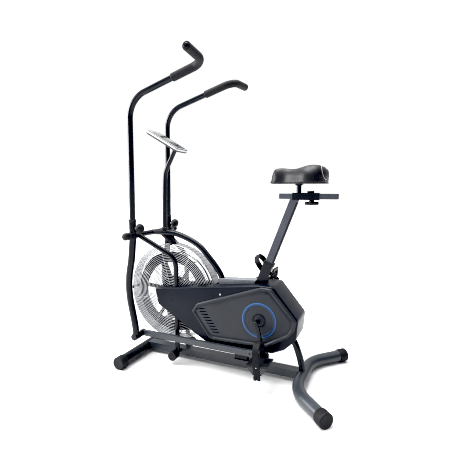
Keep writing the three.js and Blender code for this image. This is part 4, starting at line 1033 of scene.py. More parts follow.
def fan_paddle():
    """One paddle along X, cupped across its width, from the hub to the band."""
    bm = bmesh.new()
    rows = []
    for i in range(13):
        reach = 24 + (BAND_OUT - 28) * i / 12
        half = WHEEL_HALF - 2 - 8 * (1 - i / 12)
        row = []
        for j in range(9):
            across = -1 + 2 * j / 8
            cup = 7 * (1 - across * across)
            row.append(bm.verts.new(Vector((reach, cup, across * half)) * MM))
        rows.append(row)
    for low, high in zip(rows, rows[1:]):
        for j in range(8):
            bm.faces.new((low[j], low[j + 1], high[j + 1], high[j]))
    bmesh.ops.solidify(bm, geom=bm.faces[:], thickness=-2.4 * MM)
    return piece_from(bm, "part", fan_paint)


def band_ring(low, high):
    soft = 1.2
    return [(BAND_IN, low + soft), (BAND_IN + soft, low), (BAND_OUT - soft, low), (BAND_OUT, low + soft),
            (BAND_OUT, high - soft), (BAND_OUT - soft, high), (BAND_IN + soft, high),
            (BAND_IN, high - soft)]


hub_profile = [(8.3, -WHEEL_HALF), (24, -WHEEL_HALF), (26, -WHEEL_HALF + 2), (30, -8), (HUB_R - 4, -3),
               (HUB_R, -1), (HUB_R, 1), (HUB_R - 4, 3), (30, 8), (26, WHEEL_HALF - 2), (24, WHEEL_HALF),
               (8.3, WHEEL_HALF)]
hub = turned("fan_hub", hub_profile, FAN_MIDDLE, Y_AXIS, fan_paint, 72, loop=True)
fit(hub, "fan", "fan_paint", "fan_wheel")
paddles = ring_of("fan_paddles", fan_paddle(), 6, 0, FAN_MIDDLE, Y_AXIS, fan_paint, math.radians(50))
fit(paddles, "fan", "fan_paint")
BAND_Y = -24
fit(turned("fan_band", band_ring(BAND_Y - 2, BAND_Y + 2), FAN_MIDDLE, Y_AXIS, fan_paint, 96, loop=True),
    "fan",
    "fan_paint")
STAY_R, STAY_Y, STAY_WIRE = BAND_OUT - 9, 28, 2.6
eighths = [k * math.pi / 4 for k in range(8)]
stay = [(STAY_R + STAY_WIRE * math.cos(a), STAY_Y + STAY_WIRE * math.sin(a)) for a in eighths]
fit(turned("fan_stay_ring", stay, FAN_MIDDLE, Y_AXIS, fan_paint, 96, loop=True), "fan", "fan_paint")
bolt = block((9, 9, 6), 1.5, steel)
fit(ring_of("fan_bolts", bolt, 6, 58, at(FAN_X, -5, FAN_Z), Y_AXIS, steel), "fan", "steel")

# %% [markdown]
# ## The drive inside the case
# Little of it shows, but it is there: the chainring, the sprocket and the chain between them. The chain's
# links are plain blocks copied along the belt line.

# %% Shafts, chainring and sprocket
for node, body in (("fan_shaft", "fan"), ("fan_sprocket", "fan"), ("crank_axle", "crank_set"),
                   ("chainring", "crank_set")):
    fit(refined(node, steel, 0.5, 2), body, "steel", node)

# %% Chain links
CHAIN_Y, RING_TEETH, SPROCKET_TEETH, PITCH = 73, 44, 13, 12.7
ring_r, sprocket_r = (teeth * PITCH / (2 * math.pi) for teeth in (RING_TEETH, SPROCKET_TEETH))
run = Vector((CRANK_X - FAN_X, CRANK_Z - FAN_Z))
heading = math.atan2(run.y, run.x)
spread = math.acos((sprocket_r - ring_r) / run.length)


def arc(x, z, radius, first, last, count):
    """Stations on part of a circle in the chain's plane."""
    turns = [first + (last - first) * k / count for k in range(count + 1)]
    return [at(x + radius * math.cos(a), CHAIN_Y, z + radius * math.sin(a)) for a in turns]


belt = arc(CRANK_X, CRANK_Z, ring_r, heading - spread, heading + spread, 48)
belt += arc(FAN_X, FAN_Z, sprocket_r, heading + spread, heading + 2 * math.pi - spread, 24)
belt_length = sum((b - a).length for a, b in zip(belt, belt[1:] + belt[:1])) / MM
link_count = round(belt_length / PITCH)
link = block((11.6, 5.4, 7.4), 0.8, steel, 1)
link_piece = along("chain_links", link, link_count, belt, steel, "Y", closed=True)
fit(link_piece, "frame", "steel", "chain")
print("chain:", link_count, "links over", round(belt_length), "mm")

# %% [markdown]
# ## The case
# Two dark half shells close the drive. Their outer edge has a generous round, they open in a slot for the
# guard, and the post, the forks and the leg pass through cuts. We loft the outside, then cut what passes.

# %% Case halves
CASE_HALF, CASE_WALL, CASE_ROUND, SLOT_R, SLOT_HALF, RAIL_CUT = 84, 3, 9, 276, 45, 18.4
case_corners = [(66, 414), (86, 325), (202, 256), (376, 158), (430, 150), (600, 154), (746, 158),
                (806, 186),
                (864, 244), (872, 340), (748, 490), (690, 492)]
case_rounds = [14, 18, 30, 40, 30, 60, 36, 40, 34, 26, 22, 30]


def case_loops(margin, start, face, soft):
    """The outline from the joint plane out to the face, with a quarter round at the outer edge."""
    loops = [(inset_rounded(case_corners, case_rounds, margin), start)]
    for k in range(7):
        a = k / 6 * math.pi / 2
        outline = inset_rounded(case_corners, case_rounds, margin + soft * (1 - math.cos(a)))
        loops.append((outline, face - soft + soft * math.sin(a)))
    return loops


SEAT_BASE = Vector((660, 480))
SEAT_LEAN = math.atan2(120, 314)
seat_up = Vector((math.sin(SEAT_LEAN), 0, math.cos(SEAT_LEAN)))
seat_back = Vector((math.cos(SEAT_LEAN), 0, -math.sin(SEAT_LEAN)))


def seat_block(name, depth, width, low, high):
    """A plain block along the seat tube, from one height to another up the tube."""
    middle = at(SEAT_BASE.x, 0, SEAT_BASE.y) + seat_up * (low + high) / 2 * MM
    return cuboid(name, lambda x, y, z: middle + (
        seat_back * x * depth + Y_AXIS * y * width + seat_up * z * (high - low)) * MM, hole_black)


def box_cutter(low, high):
    return cuboid("cutter", lambda *corner: Vector(
        a + (c + 0.5) * (b - a) for a, b, c in zip(low, high, corner)), hole_black)


beam_low, beam_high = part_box("main_beam")
for side, word in SIDES:
    shell = terraced(f"case_shell_{word}", case_loops(0, 0.15, CASE_HALF, CASE_ROUND), case_plastic, side)
    cavity = terraced("cavity", case_loops(CASE_WALL, -5, CASE_HALF - CASE_WALL, CASE_ROUND - 2),
                      hole_black, side)
    fan_slot = turned("slot", [(0, -SLOT_HALF), (SLOT_R, -SLOT_HALF), (SLOT_R, SLOT_HALF), (0, SLOT_HALF)],
                      FAN_MIDDLE, Y_AXIS, hole_black,
                      96)
    shell = carve(
        shell, cavity, fan_slot,
        tube("fork_cut", fork_path(side, 10), FORK_R + 1.5, hole_black, 24),
        tube("leg_cut", smooth_line(leg_points), 18, hole_black, 24),
        box_cutter(Vector((beam_low[0] - 0.05, beam_low[1] - 1.5 * MM, beam_low[2] - 0.02)),
                   Vector((beam_high[0] - 0.012, beam_high[1] + 1.5 * MM, beam_high[2] + 0.02))),
        box_cutter(at(508, -RAIL_CUT, 120), at(618, RAIL_CUT, 200)),
        seat_block("seat_cut", 55, 53, -60, 124),
        turned("shell_cut", [(0, 40), (27, 40), (27, 130), (0, 130)], CRANK_MIDDLE,
               Y_AXIS * side,
               hole_black, 48))
    fit(shell, "frame", "case_plastic", f"case_{word}")
    print(shell.name, len(shell.data.polygons), "faces")

# %% Case screws
SCREWS = [(171, 358), (469, 424)]
for side, word in SIDES:
    for number, (x, z) in enumerate(SCREWS):
        head = turned(f"case_screw_{word}_{number}",
                      [(0, 0), (5.2, 0), (5.2, 0.5), (4.4, 1.4), (2.0, 1.6), (1.6, 0.7), (0, 0.7)],
                      at(x, side * CASE_HALF, z), Y_AXIS * side, steel if number else hole_black, 24)
        fit(head, "frame", "steel")

# %% [markdown]
# ## The crank covers
# Each side carries a charcoal cover. Its border stands up as a round bead, dips to a groove and rises again
# to a flat field; nine vent slots cut the field near its nose. The bead is a terrace of insets; the slots are
# copies of one cutter along a slanted line, cut in one go.

# %% Covers with their vent slots
COVER_Y, COVER_FACE, FIELD_Y = 84.3, 94.0, 91.0
cover_corners = [(303, 318), (334, 362), (688, 486), (742, 484), (866, 342), (858, 292), (832, 256),
                 (716, 186),
                 (424, 176), (402, 186)]
cover_rounds = [16, 30, 44, 26, 22, 20, 22, 60, 26, 24]
COVER_PROFILE = [(0, COVER_Y), (0, 86.0), (1.0, 89.2), (3.4, 92.2), (6.6, 93.8), (9.6, 94.0), (12.6, 93.0),
                 (15.0, 91.0), (17.0, 88.6), (19.0, 87.6), (22.0, 87.6), (25.0, 89.4), (29.0, 90.6),
                 (33.0, 90.9)]
SLOT_FIRST, SLOT_LAST, SLOT_COUNT, SLOT_TILT = (362, 338), (446, 222), 9, -4
for side, word in SIDES:
    loops = [(inset_rounded(cover_corners, cover_rounds, step), y) for step, y in COVER_PROFILE]
    cover = terraced(f"cover_{word}", loops, cover_plastic, side)
    slot_line = [at(x, side * COVER_FACE, z) for x, z in (SLOT_FIRST, SLOT_LAST)]
    bar = block((42, 30, 5.6), 2.6, hole_black)
    bar.data.transform(Matrix.Rotation(math.radians(SLOT_TILT), 4, "Y"))
    bars = along("slot_cutters", bar, SLOT_COUNT, slot_line, hole_black)
    cover = carve(cover, bars)
    fit(cover, "frame", "cover_plastic", f"crank_cover_{word}")
    print(cover.name, len(cover.data.polygons), "faces")

# %% Accent rings, crank collars and cover screws
for side, word in SIDES:
    low = FIELD_Y
    profile = [(ACCENT_INNER, low), (ACCENT_INNER + 1, low + 1.2), (ACCENT_OUTER - 2, low + 2.0),
               (ACCENT_OUTER - 0.6, low + 1.7), (ACCENT_OUTER, low + 0.8), (ACCENT_OUTER, low)]
    ring = turned(f"accent_ring_{word}_inlay", profile, CRANK_MIDDLE, Y_AXIS * side,
                  accent_blue, 96,
                  loop=True)
    fit(ring, "frame", "accent_plastic", f"accent_ring_{word}")
    collar = [(28, 90), (33, 90), (34.5, 91.2), (34, 92.6), (31, 93.2), (28.5, 92.4), (28, 91.5)]
    fit(turned(f"crank_collar_{word}", collar, CRANK_MIDDLE, Y_AXIS * side, case_plastic, 64,
               loop=True), "frame", "cover_plastic")
    for number, (x, z) in enumerate(((846, 296), (332, 330), (712, 462))):
        head = turned(f"cover_screw_{word}_{number}", [(0, 0), (4.4, 0), (4.4, 0.8), (3.6, 1.6), (0, 1.8)],
                      at(x, side * FIELD_Y, z), Y_AXIS * side, hole_black, 24)
        fit(head, "frame", "cover_plastic")

# %% [markdown]
# ## Cranks and pedals
# Forged crank arms carry the pedals. A pedal is a wedge of plastic, with ribbed treads on top and fins on
# its outer side, coloured light grey as a painted highlight on the black plastic. A rubber strap arches over
# the shoe; the right strap is pulled up higher.

# %% Crank arms
CRANK_LENGTH, DUST_CAP_Y, PIN_Y = 172, 136, 99.5
ARM_LOW = (-3, 156)
CRANK_LEAN = math.atan2(CRANK_Z - ARM_LOW[1], CRANK_X - ARM_LOW[0])


def crank_end(side):
    way = 1 if side < 0 else -1
    return (CRANK_X + way * CRANK_LENGTH * math.sin(CRANK_LEAN),
            CRANK_Z - way * CRANK_LENGTH * math.cos(CRANK_LEAN))


for side, word in SIDES:
    arm = refined(f"crank_arm_{word}", frame_paint, 2.0)
    fit(arm, "crank_set", "black_paint", f"crank_arm_{word}")
    cap_profile = [(0, 0), (11, 0), (11.5, 0.8), (11.5, 4), (10, 5.5), (6, 6.2), (0, 6.4)]
    dust_cap = turned(f"crank_cap_{word}", cap_profile, at(CRANK_X, side * DUST_CAP_Y, CRANK_Z),
                      Y_AXIS * side, frame_paint, 32)
    fit(dust_cap, "crank_set", "black_paint")
    x, z = crank_end(side)
    pin = turned(f"rod_pin_{word}", [(0, 0), (7.6, 0), (7.6, 24), (0, 24)], at(x, side * PIN_Y, z),
                 Y_AXIS * side,
                 steel, 32)
    fit(pin, "crank_set", "steel")

# %% Pedals
PEDAL_Y, PEDAL_HALF, PEDAL_HALF_WIDTH, TREAD_Z, KEEL_Z = 190, 53, 46, 9, -36
PEDAL_TILT = {"left": math.radians(5), "right": math.radians(35)}


def on_pedal(word, x, y, z):
    """A place from the spindle's axis, in the pedal's own tilted axes; y counts outwards."""
    side = -1 if word == "left" else 1
    end_x, end_z = crank_end(side)
    c, s = math.cos(PEDAL_TILT[word]), math.sin(PEDAL_TILT[word])
    return at(end_x + x * c - z * s, side * (PEDAL_Y + y), end_z + x * s + z * c)


def tilt_part(part, word, more=0.0):
    part.data.transform(Matrix.Rotation(-PEDAL_TILT[word] + more, 4, "Y"))
    return part


for side, word in SIDES:
    body = f"{word}_pedal"
    fit(refined(f"pedal_{word}", pedal_plastic, 1.4), body, "rubber", f"pedal_{word}")
    keel_slope = math.atan2(PEDAL_HALF - 20, 3 - KEEL_Z)
    for end, place in ((-1, "front"), (1, "rear")):
        rib = tilt_part(block((3.0, 80, 3.2), 0.9, pedal_plastic), word)
        line = [on_pedal(word, end * x, 0, TREAD_Z + 0.6) for x in (19, 50)]
        fit(along(f"pedal_treads_{word}_{place}", rib, 6, line, pedal_plastic), body, "rubber")
        # The fins take the light grey finish: a painted highlight.
        rib = tilt_part(block((2.6, 3.8, 40), 1.0, rib_plastic), word, end * keel_slope)
        line = [on_pedal(word, end * x, PEDAL_HALF_WIDTH, -14) for x in (11, 33)]
        fit(along(f"pedal_fins_{word}_{place}", rib, 4, line, rib_plastic), body, "rubber")

# %% Pedal straps
STRAP_HALF, STRAP_THICK, STRAP_TAIL, STRAP_STEPS = 15, 3, 52, 40
STRAP_RISE = {"left": 103, "right": 120}
STRAP_BULGE = {"left": 15, "right": 30}


def strap_line(word, grow):
    """Half-width and height of the strap's arch, from one hanging end over the shoe to the other."""
    half = PEDAL_HALF_WIDTH + 0.8
    points = [(half + grow, -STRAP_TAIL), (half + grow, -20)]
    for i in range(STRAP_STEPS + 1):
        a = math.pi * i / STRAP_STEPS
        bulge = STRAP_BULGE[word] * math.sin(a) ** 2 * abs(math.cos(a)) * 2.2
        points.append(((half + grow + bulge) * math.cos(a),
                       12 + (STRAP_RISE[word] - 12 + grow) * math.sin(a)))
    return points + [(-half - grow, -20), (-half - grow, -STRAP_TAIL)]


def strap_piece(word):
    """A band with softly rounded edges, lofted across its width."""
    bm = bmesh.new()
    soft, half, thick = 0.8, STRAP_HALF, STRAP_THICK
    loops = []
    for grow, reach in ((0, half - soft), (soft, half), (thick - soft, half), (thick, half - soft),
                        (thick, soft - half), (thick - soft, -half), (soft, -half), (0, soft - half)):
        loops.append([bm.verts.new(on_pedal(word, reach, across, up)) for across,
                      up in strap_line(word, grow)])
    for low, high in zip(loops, loops[1:] + loops[:1]):
        for i in range(len(low) - 1):
            bm.faces.new((low[i], low[i + 1], high[i + 1], high[i]))
    bm.faces.new([loop[0] for loop in loops])
    bm.faces.new([loop[-1] for loop in loops])
    return piece_from(bm, f"strap_{word}", strap_rubber)


for side, word in SIDES:
    body = f"{word}_pedal"
    fit(strap_piece(word), body, "rubber", f"pedal_strap_{word}")
    outside = [on_pedal(word, 0, across, up) for across, up in strap_line(word, STRAP_THICK)]
    tooth = block((13, 3.2, 1.8), 0.6, strap_rubber, 1)
    fit(along(f"strap_teeth_{word}", tooth, 22, outside[:24], strap_rubber, "X"), body, "rubber")
    for end, reach in (("front", -9), ("rear", 9)):
        lump = tilt_part(block((15, 8, 20), 3.4, strap_rubber, 3), word)
        place = Matrix.Translation(on_pedal(word, reach, PEDAL_HALF_WIDTH + 3, -48))
        fit(placed(lump, f"strap_end_{word}_{end}", place), body, "rubber")
    rivet = turned(f"strap_rivet_{word}", [(0, -0.4), (3.0, -0.4), (3.0, 0.8), (2.0, 1.6), (0, 1.8)],
                   on_pedal(word, 0, PEDAL_HALF_WIDTH + STRAP_THICK + 0.6, 2), Y_AXIS * side, steel, 16)
    fit(rivet, body, "rubber")

# %% [markdown]
# ## The arms
# Each arm is a curved lower tube that swings on the cross tube, and an upper tube clamped into it. The upper
# tube bends back to the rider and out to the side, under a foam grip. A round knob locks the two together.

# %% Lower arms
ARM_Y, LOWER_R, SLEEVE_R, CLAMP_Z = 167, 18, 19, 752
lower_points = [(-1, 797), (0, 713), (-6, 662), (-16, 582), (-33, 500), (-39, 430), (-34, 360), (-21, 290),
                (-7, 215), ARM_LOW]
for side, word in SIDES:
    body = f"{word}_arm"
    path = smooth_line(lower_points, side * ARM_Y)
    fit(tube(f"arm_tube_{word}", path, LOWER_R, frame_paint, 40), body, "black_paint", f"lower_arm_{word}")
    lip_profile = [(14.6, 0), (18.6, 0), (19.4, 1.4), (19.4, 12), (18.4, 13.4), (14.6, 13.4)]
    lip = turned(f"arm_collar_{word}", lip_profile, at(-1, side * ARM_Y, 785), Z_AXIS, frame_paint, 48,
                 loop=True)
    fit(lip, body, "black_paint")
    sleeve = [(10.6, 142), (SLEEVE_R - 1, 142), (SLEEVE_R, 143.5), (SLEEVE_R, 194.5), (SLEEVE_R - 1, 196),
              (10.6, 196)]
    fit(turned(f"arm_sleeve_{word}", sleeve, at(0, 0, PIVOT_Z), Y_AXIS * side, frame_paint, 48, loop=True),
        body, "black_paint")
    foot = [(0, 99), (7.8, 99), (7.8, 117.6), (14, 117.6), (15, 118.6), (15, 140), (17.5, 141),
            (SLEEVE_R, 143), (SLEEVE_R, 187), (17.5, 189.4), (12, 190), (0, 190)]
    fit(turned(f"arm_foot_{word}", foot, at(ARM_LOW[0], 0, ARM_LOW[1]), Y_AXIS * side, frame_paint, 48),
        body, "black_paint")
    bolt = turned(f"arm_bolt_{word}", [(0, 0), (6.5, 0), (6.5, 6), (5.6, 7), (0, 7)],
                  at(-LOWER_R + 0.6, side * ARM_Y, CLAMP_Z), -X_AXIS, steel, 6)
    fit(bolt, body, "black_paint")

# %% Pivot caps and upper arms
for side, word in SIDES:
    cap = [(10.4, 196.6), (18.4, 196.6), (19, 197.4), (19, 203.8), (18, 205), (15.4, 207), (15.2, 214),
           (16.6, 222),
           (17.4, 227), (17, 232), (15, 235.6), (11, 238), (4, 239), (0, 239.1), (0, 226.4), (10.4, 226.4)]
    fit(turned(f"pivot_cap_{word}_round", cap, at(0, 0, PIVOT_Z), Y_AXIS * side, rubber_black, 48), "frame",
        "rubber", f"pivot_cap_{word}")
    lobe = block((5, 7, 18), 2.4, rubber_black, 3)
    fit(ring_of(f"pivot_cap_{word}_lobes", lobe, 8, 16.4, at(0, side * 225, PIVOT_Z), Y_AXIS, rubber_black),
        "frame", "rubber")

UPPER_R, UPPER_LOW, HANDLE_BEND, GRIP_BEND, GRIP_R, GRIP_X = 14.2, 737, 130, 62, 19.4, 264
handle_corner = (9, 1405)
grip_turn, grip_end = (434, 1529), (438, 330, 1541)
slope = (grip_turn[1] - handle_corner[1]) / (grip_turn[0] - handle_corner[0])
for side, word in SIDES:
    body = f"{word}_arm"
    y = side * ARM_Y
    turn = at(grip_turn[0], y, grip_turn[1])
    end = at(grip_end[0], side * grip_end[1], grip_end[2])
    inner_end = end + (turn - end).normalized() * 7 * MM
    path = bent([at(0, y, UPPER_LOW), at(handle_corner[0], y, handle_corner[1]), turn, inner_end],
                [HANDLE_BEND, GRIP_BEND], 18)
    fit(tube(f"handle_{word}", path, UPPER_R, frame_paint, 40), body, "black_paint", f"upper_arm_{word}")
    start = at(GRIP_X, y, handle_corner[1] + slope * (GRIP_X - handle_corner[0]))
    sheath = tube(f"grip_sheath_{word}", bent([start, turn, end], [GRIP_BEND], 24), GRIP_R, grip_foam, 44)
    soften(sheath, 4, 4)
    fit(sheath, body, "foam", f"grip_{word}")
    way = (end - turn).normalized()
    plug = [(0, 0), (12, 0), (12.6, 0.6), (11.4, 2.6), (7, 4.2), (0, 4.8)]
    fit(turned(f"grip_plug_{word}", plug, end - way * 0.3 * MM, way, frame_paint, 36), body, "foam")

# %% Clamp knobs
for side, word in SIDES:
    body = f"{word}_arm_knob"
    base = at(LOWER_R + 0.3, side * ARM_Y, CLAMP_Z)
    ferrule = [(0, 0.2), (8.0, 0.2), (8.8, 1), (8.8, 8.2), (7.6, 9.2), (0, 9.2)]
    fit(turned(f"knob_ferrule_{word}", ferrule, base, X_AXIS, steel, 32), body, "rubber")
    ball = [(0, 9), (12, 9), (18, 12.4), (22, 17.4), (24, 24), (24, 30), (22.4, 36.4), (18, 42), (12, 45.8),
            (6, 47.6), (0, 48)]
    fit(turned(f"knob_ball_{word}", ball, base, X_AXIS, rubber_black, 48), body, "rubber",
        f"arm_knob_{word}")

# %% [markdown]
# ## The link rods
# A flat bar joins the foot of each arm to its crank. A bearing block with two screws sits near its rear end.

# %% Link rods
ROD_BLOCK_LOW, ROD_BLOCK_HIGH, ROD_Y, ROD_FACE_Y = 92, 20, 108, 117.8
for side, word in SIDES:
    body = f"{word}_rod"
    rod = refined(f"link_rod_{word}", rod_paint, 2.4)
    fit(rod, body, "grey_paint", f"link_rod_{word}")
    x, z = crank_end(side)
    front, back = at(ARM_LOW[0], 0, ARM_LOW[1]), at(x, 0, z)
    way = (back - front).normalized()
    low = back - way * ROD_BLOCK_LOW * MM
    high = back - way * ROD_BLOCK_HIGH * MM
    sleeve = block((72, 19.6, 33), 3.0, rod_paint, 3)
    turn = Matrix((way, Y_AXIS, way.cross(Y_AXIS))).transposed().to_4x4()
    place = Matrix.Translation((low + high) / 2 + Y_AXIS * side * ROD_Y * MM)
    fit(placed(sleeve, f"rod_block_{word}", place @ turn), body, "rubber")
    head = turned("part", [(0, -0.4), (4.6, -0.4), (4.6, 1.6), (3.8, 2.6), (0, 2.8)], (0, 0, 0),
                  Y_AXIS * side, hole_black, 20)
    line = [p + Y_AXIS * side * ROD_FACE_Y * MM for p in (low + way * 14 * MM, high - way * 14 * MM)]
    heads = along(f"rod_screws_{word}", head, 2, line, hole_black)
    fit(heads, body, "grey_paint")

# %% [markdown]
# ## Saddle and post
# The post is a flat bar in a sleeve, with a row of height holes at the back that the pull pin drops into; the
# holes are flat black discs, painted shade for their depth. A dark strip wraps its rear edges: painted shade
# on the post's rear side. On top lies a square rail, and the saddle's carriage slides on it under one knob.

# %% Post, sleeve, carriage and knobs
fit(refined("seat_tube", frame_paint, 2.5), "frame", "black_paint", "seat_tube")
fit(refined("seat_post", post_paint, 3.0), "seat_post_slide", "black_paint", "seat_post")
fit(refined("seat_carriage", frame_paint, 1.2), "saddle_carriage", "black_paint", "seat_carriage")

lip_outline = seat_block("seat_lip", 51.6, 36.6, 108, 125)
lip = carve(lip_outline, seat_block("lip_bore", 41.2, 26.2, 100, 140))
lip.data.materials[0] = rubber_black
soften(lip, 2)
fit(lip, "frame", "black_paint")

seat_low = at(SEAT_BASE.x, 0, SEAT_BASE.y)
# The height holes are flat black discs: painted shade for the depth of each hole.
hole = turned("part", [(0, -1.0), (4.6, -1.0), (4.6, 0.15), (3.8, 0.25), (3.4, -0.5), (0, -0.5)], (0, 0, 0),
              seat_back, hole_black, 20)
hole_line = [seat_low + (seat_up * s + seat_back * 20) * MM for s in (165, 425)]
fit(along("post_holes", hole, 8, hole_line, hole_black), "seat_post_slide", "black_paint")

# A black strip over the post's rear edges: painted shade on the post's rear side.
STRIP_DEPTH, STRIP_WIDTH, STRIP_BACK, STRIP_SOFT = 7.4, 25.6, 16.65, 2.4
strip = seat_block("post_rear_strip", STRIP_DEPTH, STRIP_WIDTH, 128, 452)
strip.data.transform(Matrix.Translation(seat_back * STRIP_BACK * MM))
soften(strip, STRIP_SOFT)
fit(strip, "seat_post_slide", "black_paint")

PIN_S = 72
pin_base = seat_low + (seat_up * PIN_S) * MM
pin_knob = [(0, 20.8), (3.9, 20.8), (3.9, 38.2), (9, 38.2), (12, 40), (14.2, 44), (14.8, 49), (14.2, 54.5),
            (11, 58.6),
            (5, 60), (0, 60)]
fit(turned("pin_knob", pin_knob, pin_base, seat_back, rubber_black, 40), "seat_pin_body", "black_paint",
    "seat_pin")

# %% The slide knob, a disc with five lobes
KNOB_X, KNOB_TOP = 904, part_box("slide_knob")[1][2] / MM
knob_stem = [(0, 0), (10.6, 0), (11, -0.6), (11, -4), (13, -7), (13, -12), (0, -12)]
fit(turned("slide_knob_stem", knob_stem, at(KNOB_X, 0, KNOB_TOP), Z_AXIS, frame_paint, 40),
    "slide_knob_body",
    "rubber", "slide_knob")
lobe = turned("part", [(0, -22), (13, -22), (15.5, -19.6), (16.4, -15), (15.5, -10.6), (13, -8.4),
                       (0, -8.4)],
              (0, 0, 0), Z_AXIS, rubber_black, 28)
fit(ring_of("slide_knob_lobes", lobe, 6, 18.5, at(KNOB_X, 0, KNOB_TOP), Z_AXIS, rubber_black),
    "slide_knob_body",
    "rubber")
nut = turned("carriage_nut", [(0, 0), (11, 0), (12, 1), (12, 7), (10.5, 9), (0, 9.4)], at(KNOB_X, 0, 939),
             Z_AXIS, frame_paint, 6)
fit(nut, "saddle_carriage", "black_paint")
for x, end in ((751, "front"), (1023, "rear")):
    end_plug = block((3.0, 22.6, 22.6), 1.2, rubber_black)
    place = Matrix.Translation(at(x, 0, 923))
    fit(placed(end_plug, f"rail_plug_{end}", place), "seat_post_slide", "black_paint")

# %% [markdown]
# The saddle is foam under vinyl: a narrow nose that opens into two lobes, low in the middle. We build the
# form a little small, remesh it evenly, and let cloth with inner pressure swell it, so that the cover gets
# the even tension that stitched vinyl has. The trim cord at the rear is laid on the swollen surface
# afterwards.

# %% Saddle form
SADDLE_X0, SADDLE_X1, SADDLE_Z0 = 706, 978, 984


def ease(value, low, high):
    t = min(max((value - low) / (high - low), 0.0), 1.0)
    return t * t * (3 - 2 * t)


def saddle_width(t):
    """Half width along the saddle, t from 0 at the nose to 1 at the rear."""
    width = 42 + (115 - 42) * ease(t, 0.22, 0.74)
    nose = math.sqrt(max(0.0, 1 - (1 - min(t / 0.15, 1)) ** 2))
    tail = math.sqrt(max(0.0, 1 - max(0.0, (t - 0.74) / 0.26) ** 2.6))
    return width * nose * tail


def saddle_height(t):
    """Height of the crown above the lower edge: a low nose, a dip, and a raised rear."""
    rise = 66 - 5 * ease(t, 0.22, 0.38) + 17 * ease(t, 0.42, 0.76) - 16 * ease(t, 0.86, 1.0)
    return rise * (0.35 + 0.65 * ease(t, -0.03, 0.09))


def saddle_form():
    bm = bmesh.new()
    along_count, round_count = 44, 24
    rings = []
    for i in range(along_count + 1):
        t = 0.004 + 0.992 * i / along_count
        x = SADDLE_X0 + t * (SADDLE_X1 - SADDLE_X0)
        half, crown = saddle_width(t), saddle_height(t)
        ring = []
        for k in range(round_count + 1):
            a = math.pi * k / round_count
            y = half * math.copysign(abs(math.cos(a)) ** 0.62, math.cos(a))
            share = abs(y) / max(half, 1)
            lobes = 1 - 0.10 * ease(t, 0.45, 0.8) * (1 - ease(share, 0.0, 0.45))
            up = crown * lobes * math.sin(a) ** 0.7
            skirt = 6 * (1 - ease(up, 0, 22)) * (1 - ease(t, 0.0, 0.5))
            ring.append(bm.verts.new(at(x - skirt, y, SADDLE_Z0 + up)))
        for k in range(1, round_count):
            a = math.pi * k / round_count
            low = SADDLE_Z0 - 0.5 + 2.5 * math.sin(a)
            ring.append(bm.verts.new(at(x, -half * math.cos(a) * 0.97, low)))
        rings.append(ring)
    ring_faces(bm, rings)
    return piece_from(bm, "saddle_cushion", saddle_vinyl)


saddle = saddle_form()

# %% Remesh and swell
SWELL_FRAMES = 20


def swollen(piece, voxel, pressure, most):
    """Even quads, then cloth with pressure inside; no point moves more than `most` millimetres."""
    remesh = piece.modifiers.new("even", "REMESH")
    remesh.mode = "VOXEL"
    remesh.voxel_size = voxel * MM
    mesh = evaluated_mesh(piece)
    piece.modifiers.remove(remesh)
    piece.data = mesh
    before = [v.co.copy() for v in mesh.vertices]
    cloth = piece.modifiers.new("cloth", "CLOTH")
    cloth.settings.use_pressure = True
    cloth.settings.uniform_pressure_force = pressure
    cloth.settings.effector_weights.gravity = 0
    cloth.settings.quality = 4
    cloth.settings.tension_stiffness = 25
    cloth.point_cache.frame_start = 1
    cloth.point_cache.frame_end = SWELL_FRAMES
    scene = bpy.context.scene
    for number in range(1, SWELL_FRAMES + 1):
        scene.frame_set(number)
    shape = evaluated_mesh(piece)
    after = [v.co.copy() for v in shape.vertices]
    piece.modifiers.remove(cloth)
    scene.frame_set(1)
    farthest = 0.0
    for vertex, old, new in zip(mesh.vertices, before, after):
        move = new - old
        held = ease(old.z / MM, SADDLE_Z0 + 1, SADDLE_Z0 + 16)
        move *= held
        if move.length > most * MM:
            move = move.normalized() * most * MM
        farthest = max(farthest, move.length)
        vertex.co = old + move
    print("saddle swelled by up to", round(farthest / MM, 1), "mm")
    mesh.shade_smooth()
    return piece


VOXEL, PRESSURE, MOST_SWELL = 5.0, 4.0, 5.0
saddle = swollen(saddle, VOXEL, PRESSURE, MOST_SWELL)
saddle.data.materials.clear()
saddle.data.materials.append(saddle_vinyl)
relax = saddle.modifiers.new("relax", "SMOOTH")
relax.factor = 0.5
relax.iterations = 6
finer = saddle.modifiers.new("finer", "SUBSURF")
finer.levels = 1
finer.render_levels = 1
saddle.data = evaluated_mesh(saddle)
saddle.modifiers.clear()
saddle.data.shade_smooth()
fit(saddle, "saddle_carriage", "vinyl", "saddle")
print("saddle:", len(saddle.data.polygons), "faces")

# %% Trim cord and base plate
HEART_RISE, CORD_LIFT, CORD_LEAN = 20, 0.6, math.radians(100)
tree = BVHTree.FromPolygons([v.co for v in saddle.data.vertices],
                            [p.vertices[:] for p in saddle.data.polygons])


def on_saddle(x, lean):
    """A point just above the saddle's skin, seen from inside at x in a direction `lean` from straight up."""
    start = at(x, 0, SADDLE_Z0 + HEART_RISE)
    way = Vector((0, math.sin(lean), math.cos(lean)))
    hit = tree.ray_cast(start, way, 0.3)[0]
    return hit + way * CORD_LIFT * MM if hit else None


def cord_points(x_middle, x_side):
    points = []
    for k in range(61):
        lean = CORD_LEAN * (k / 30 - 1)
        x = x_middle + (x_side - x_middle) * (abs(lean) / CORD_LEAN) ** 2
        point = on_saddle(x, lean)
        if point:
            points.append(point)
    return points


fit(tube("saddle_trim_cord", cord_points(949, 973), 1.4, trim_grey, 14), "saddle_carriage", "vinyl")

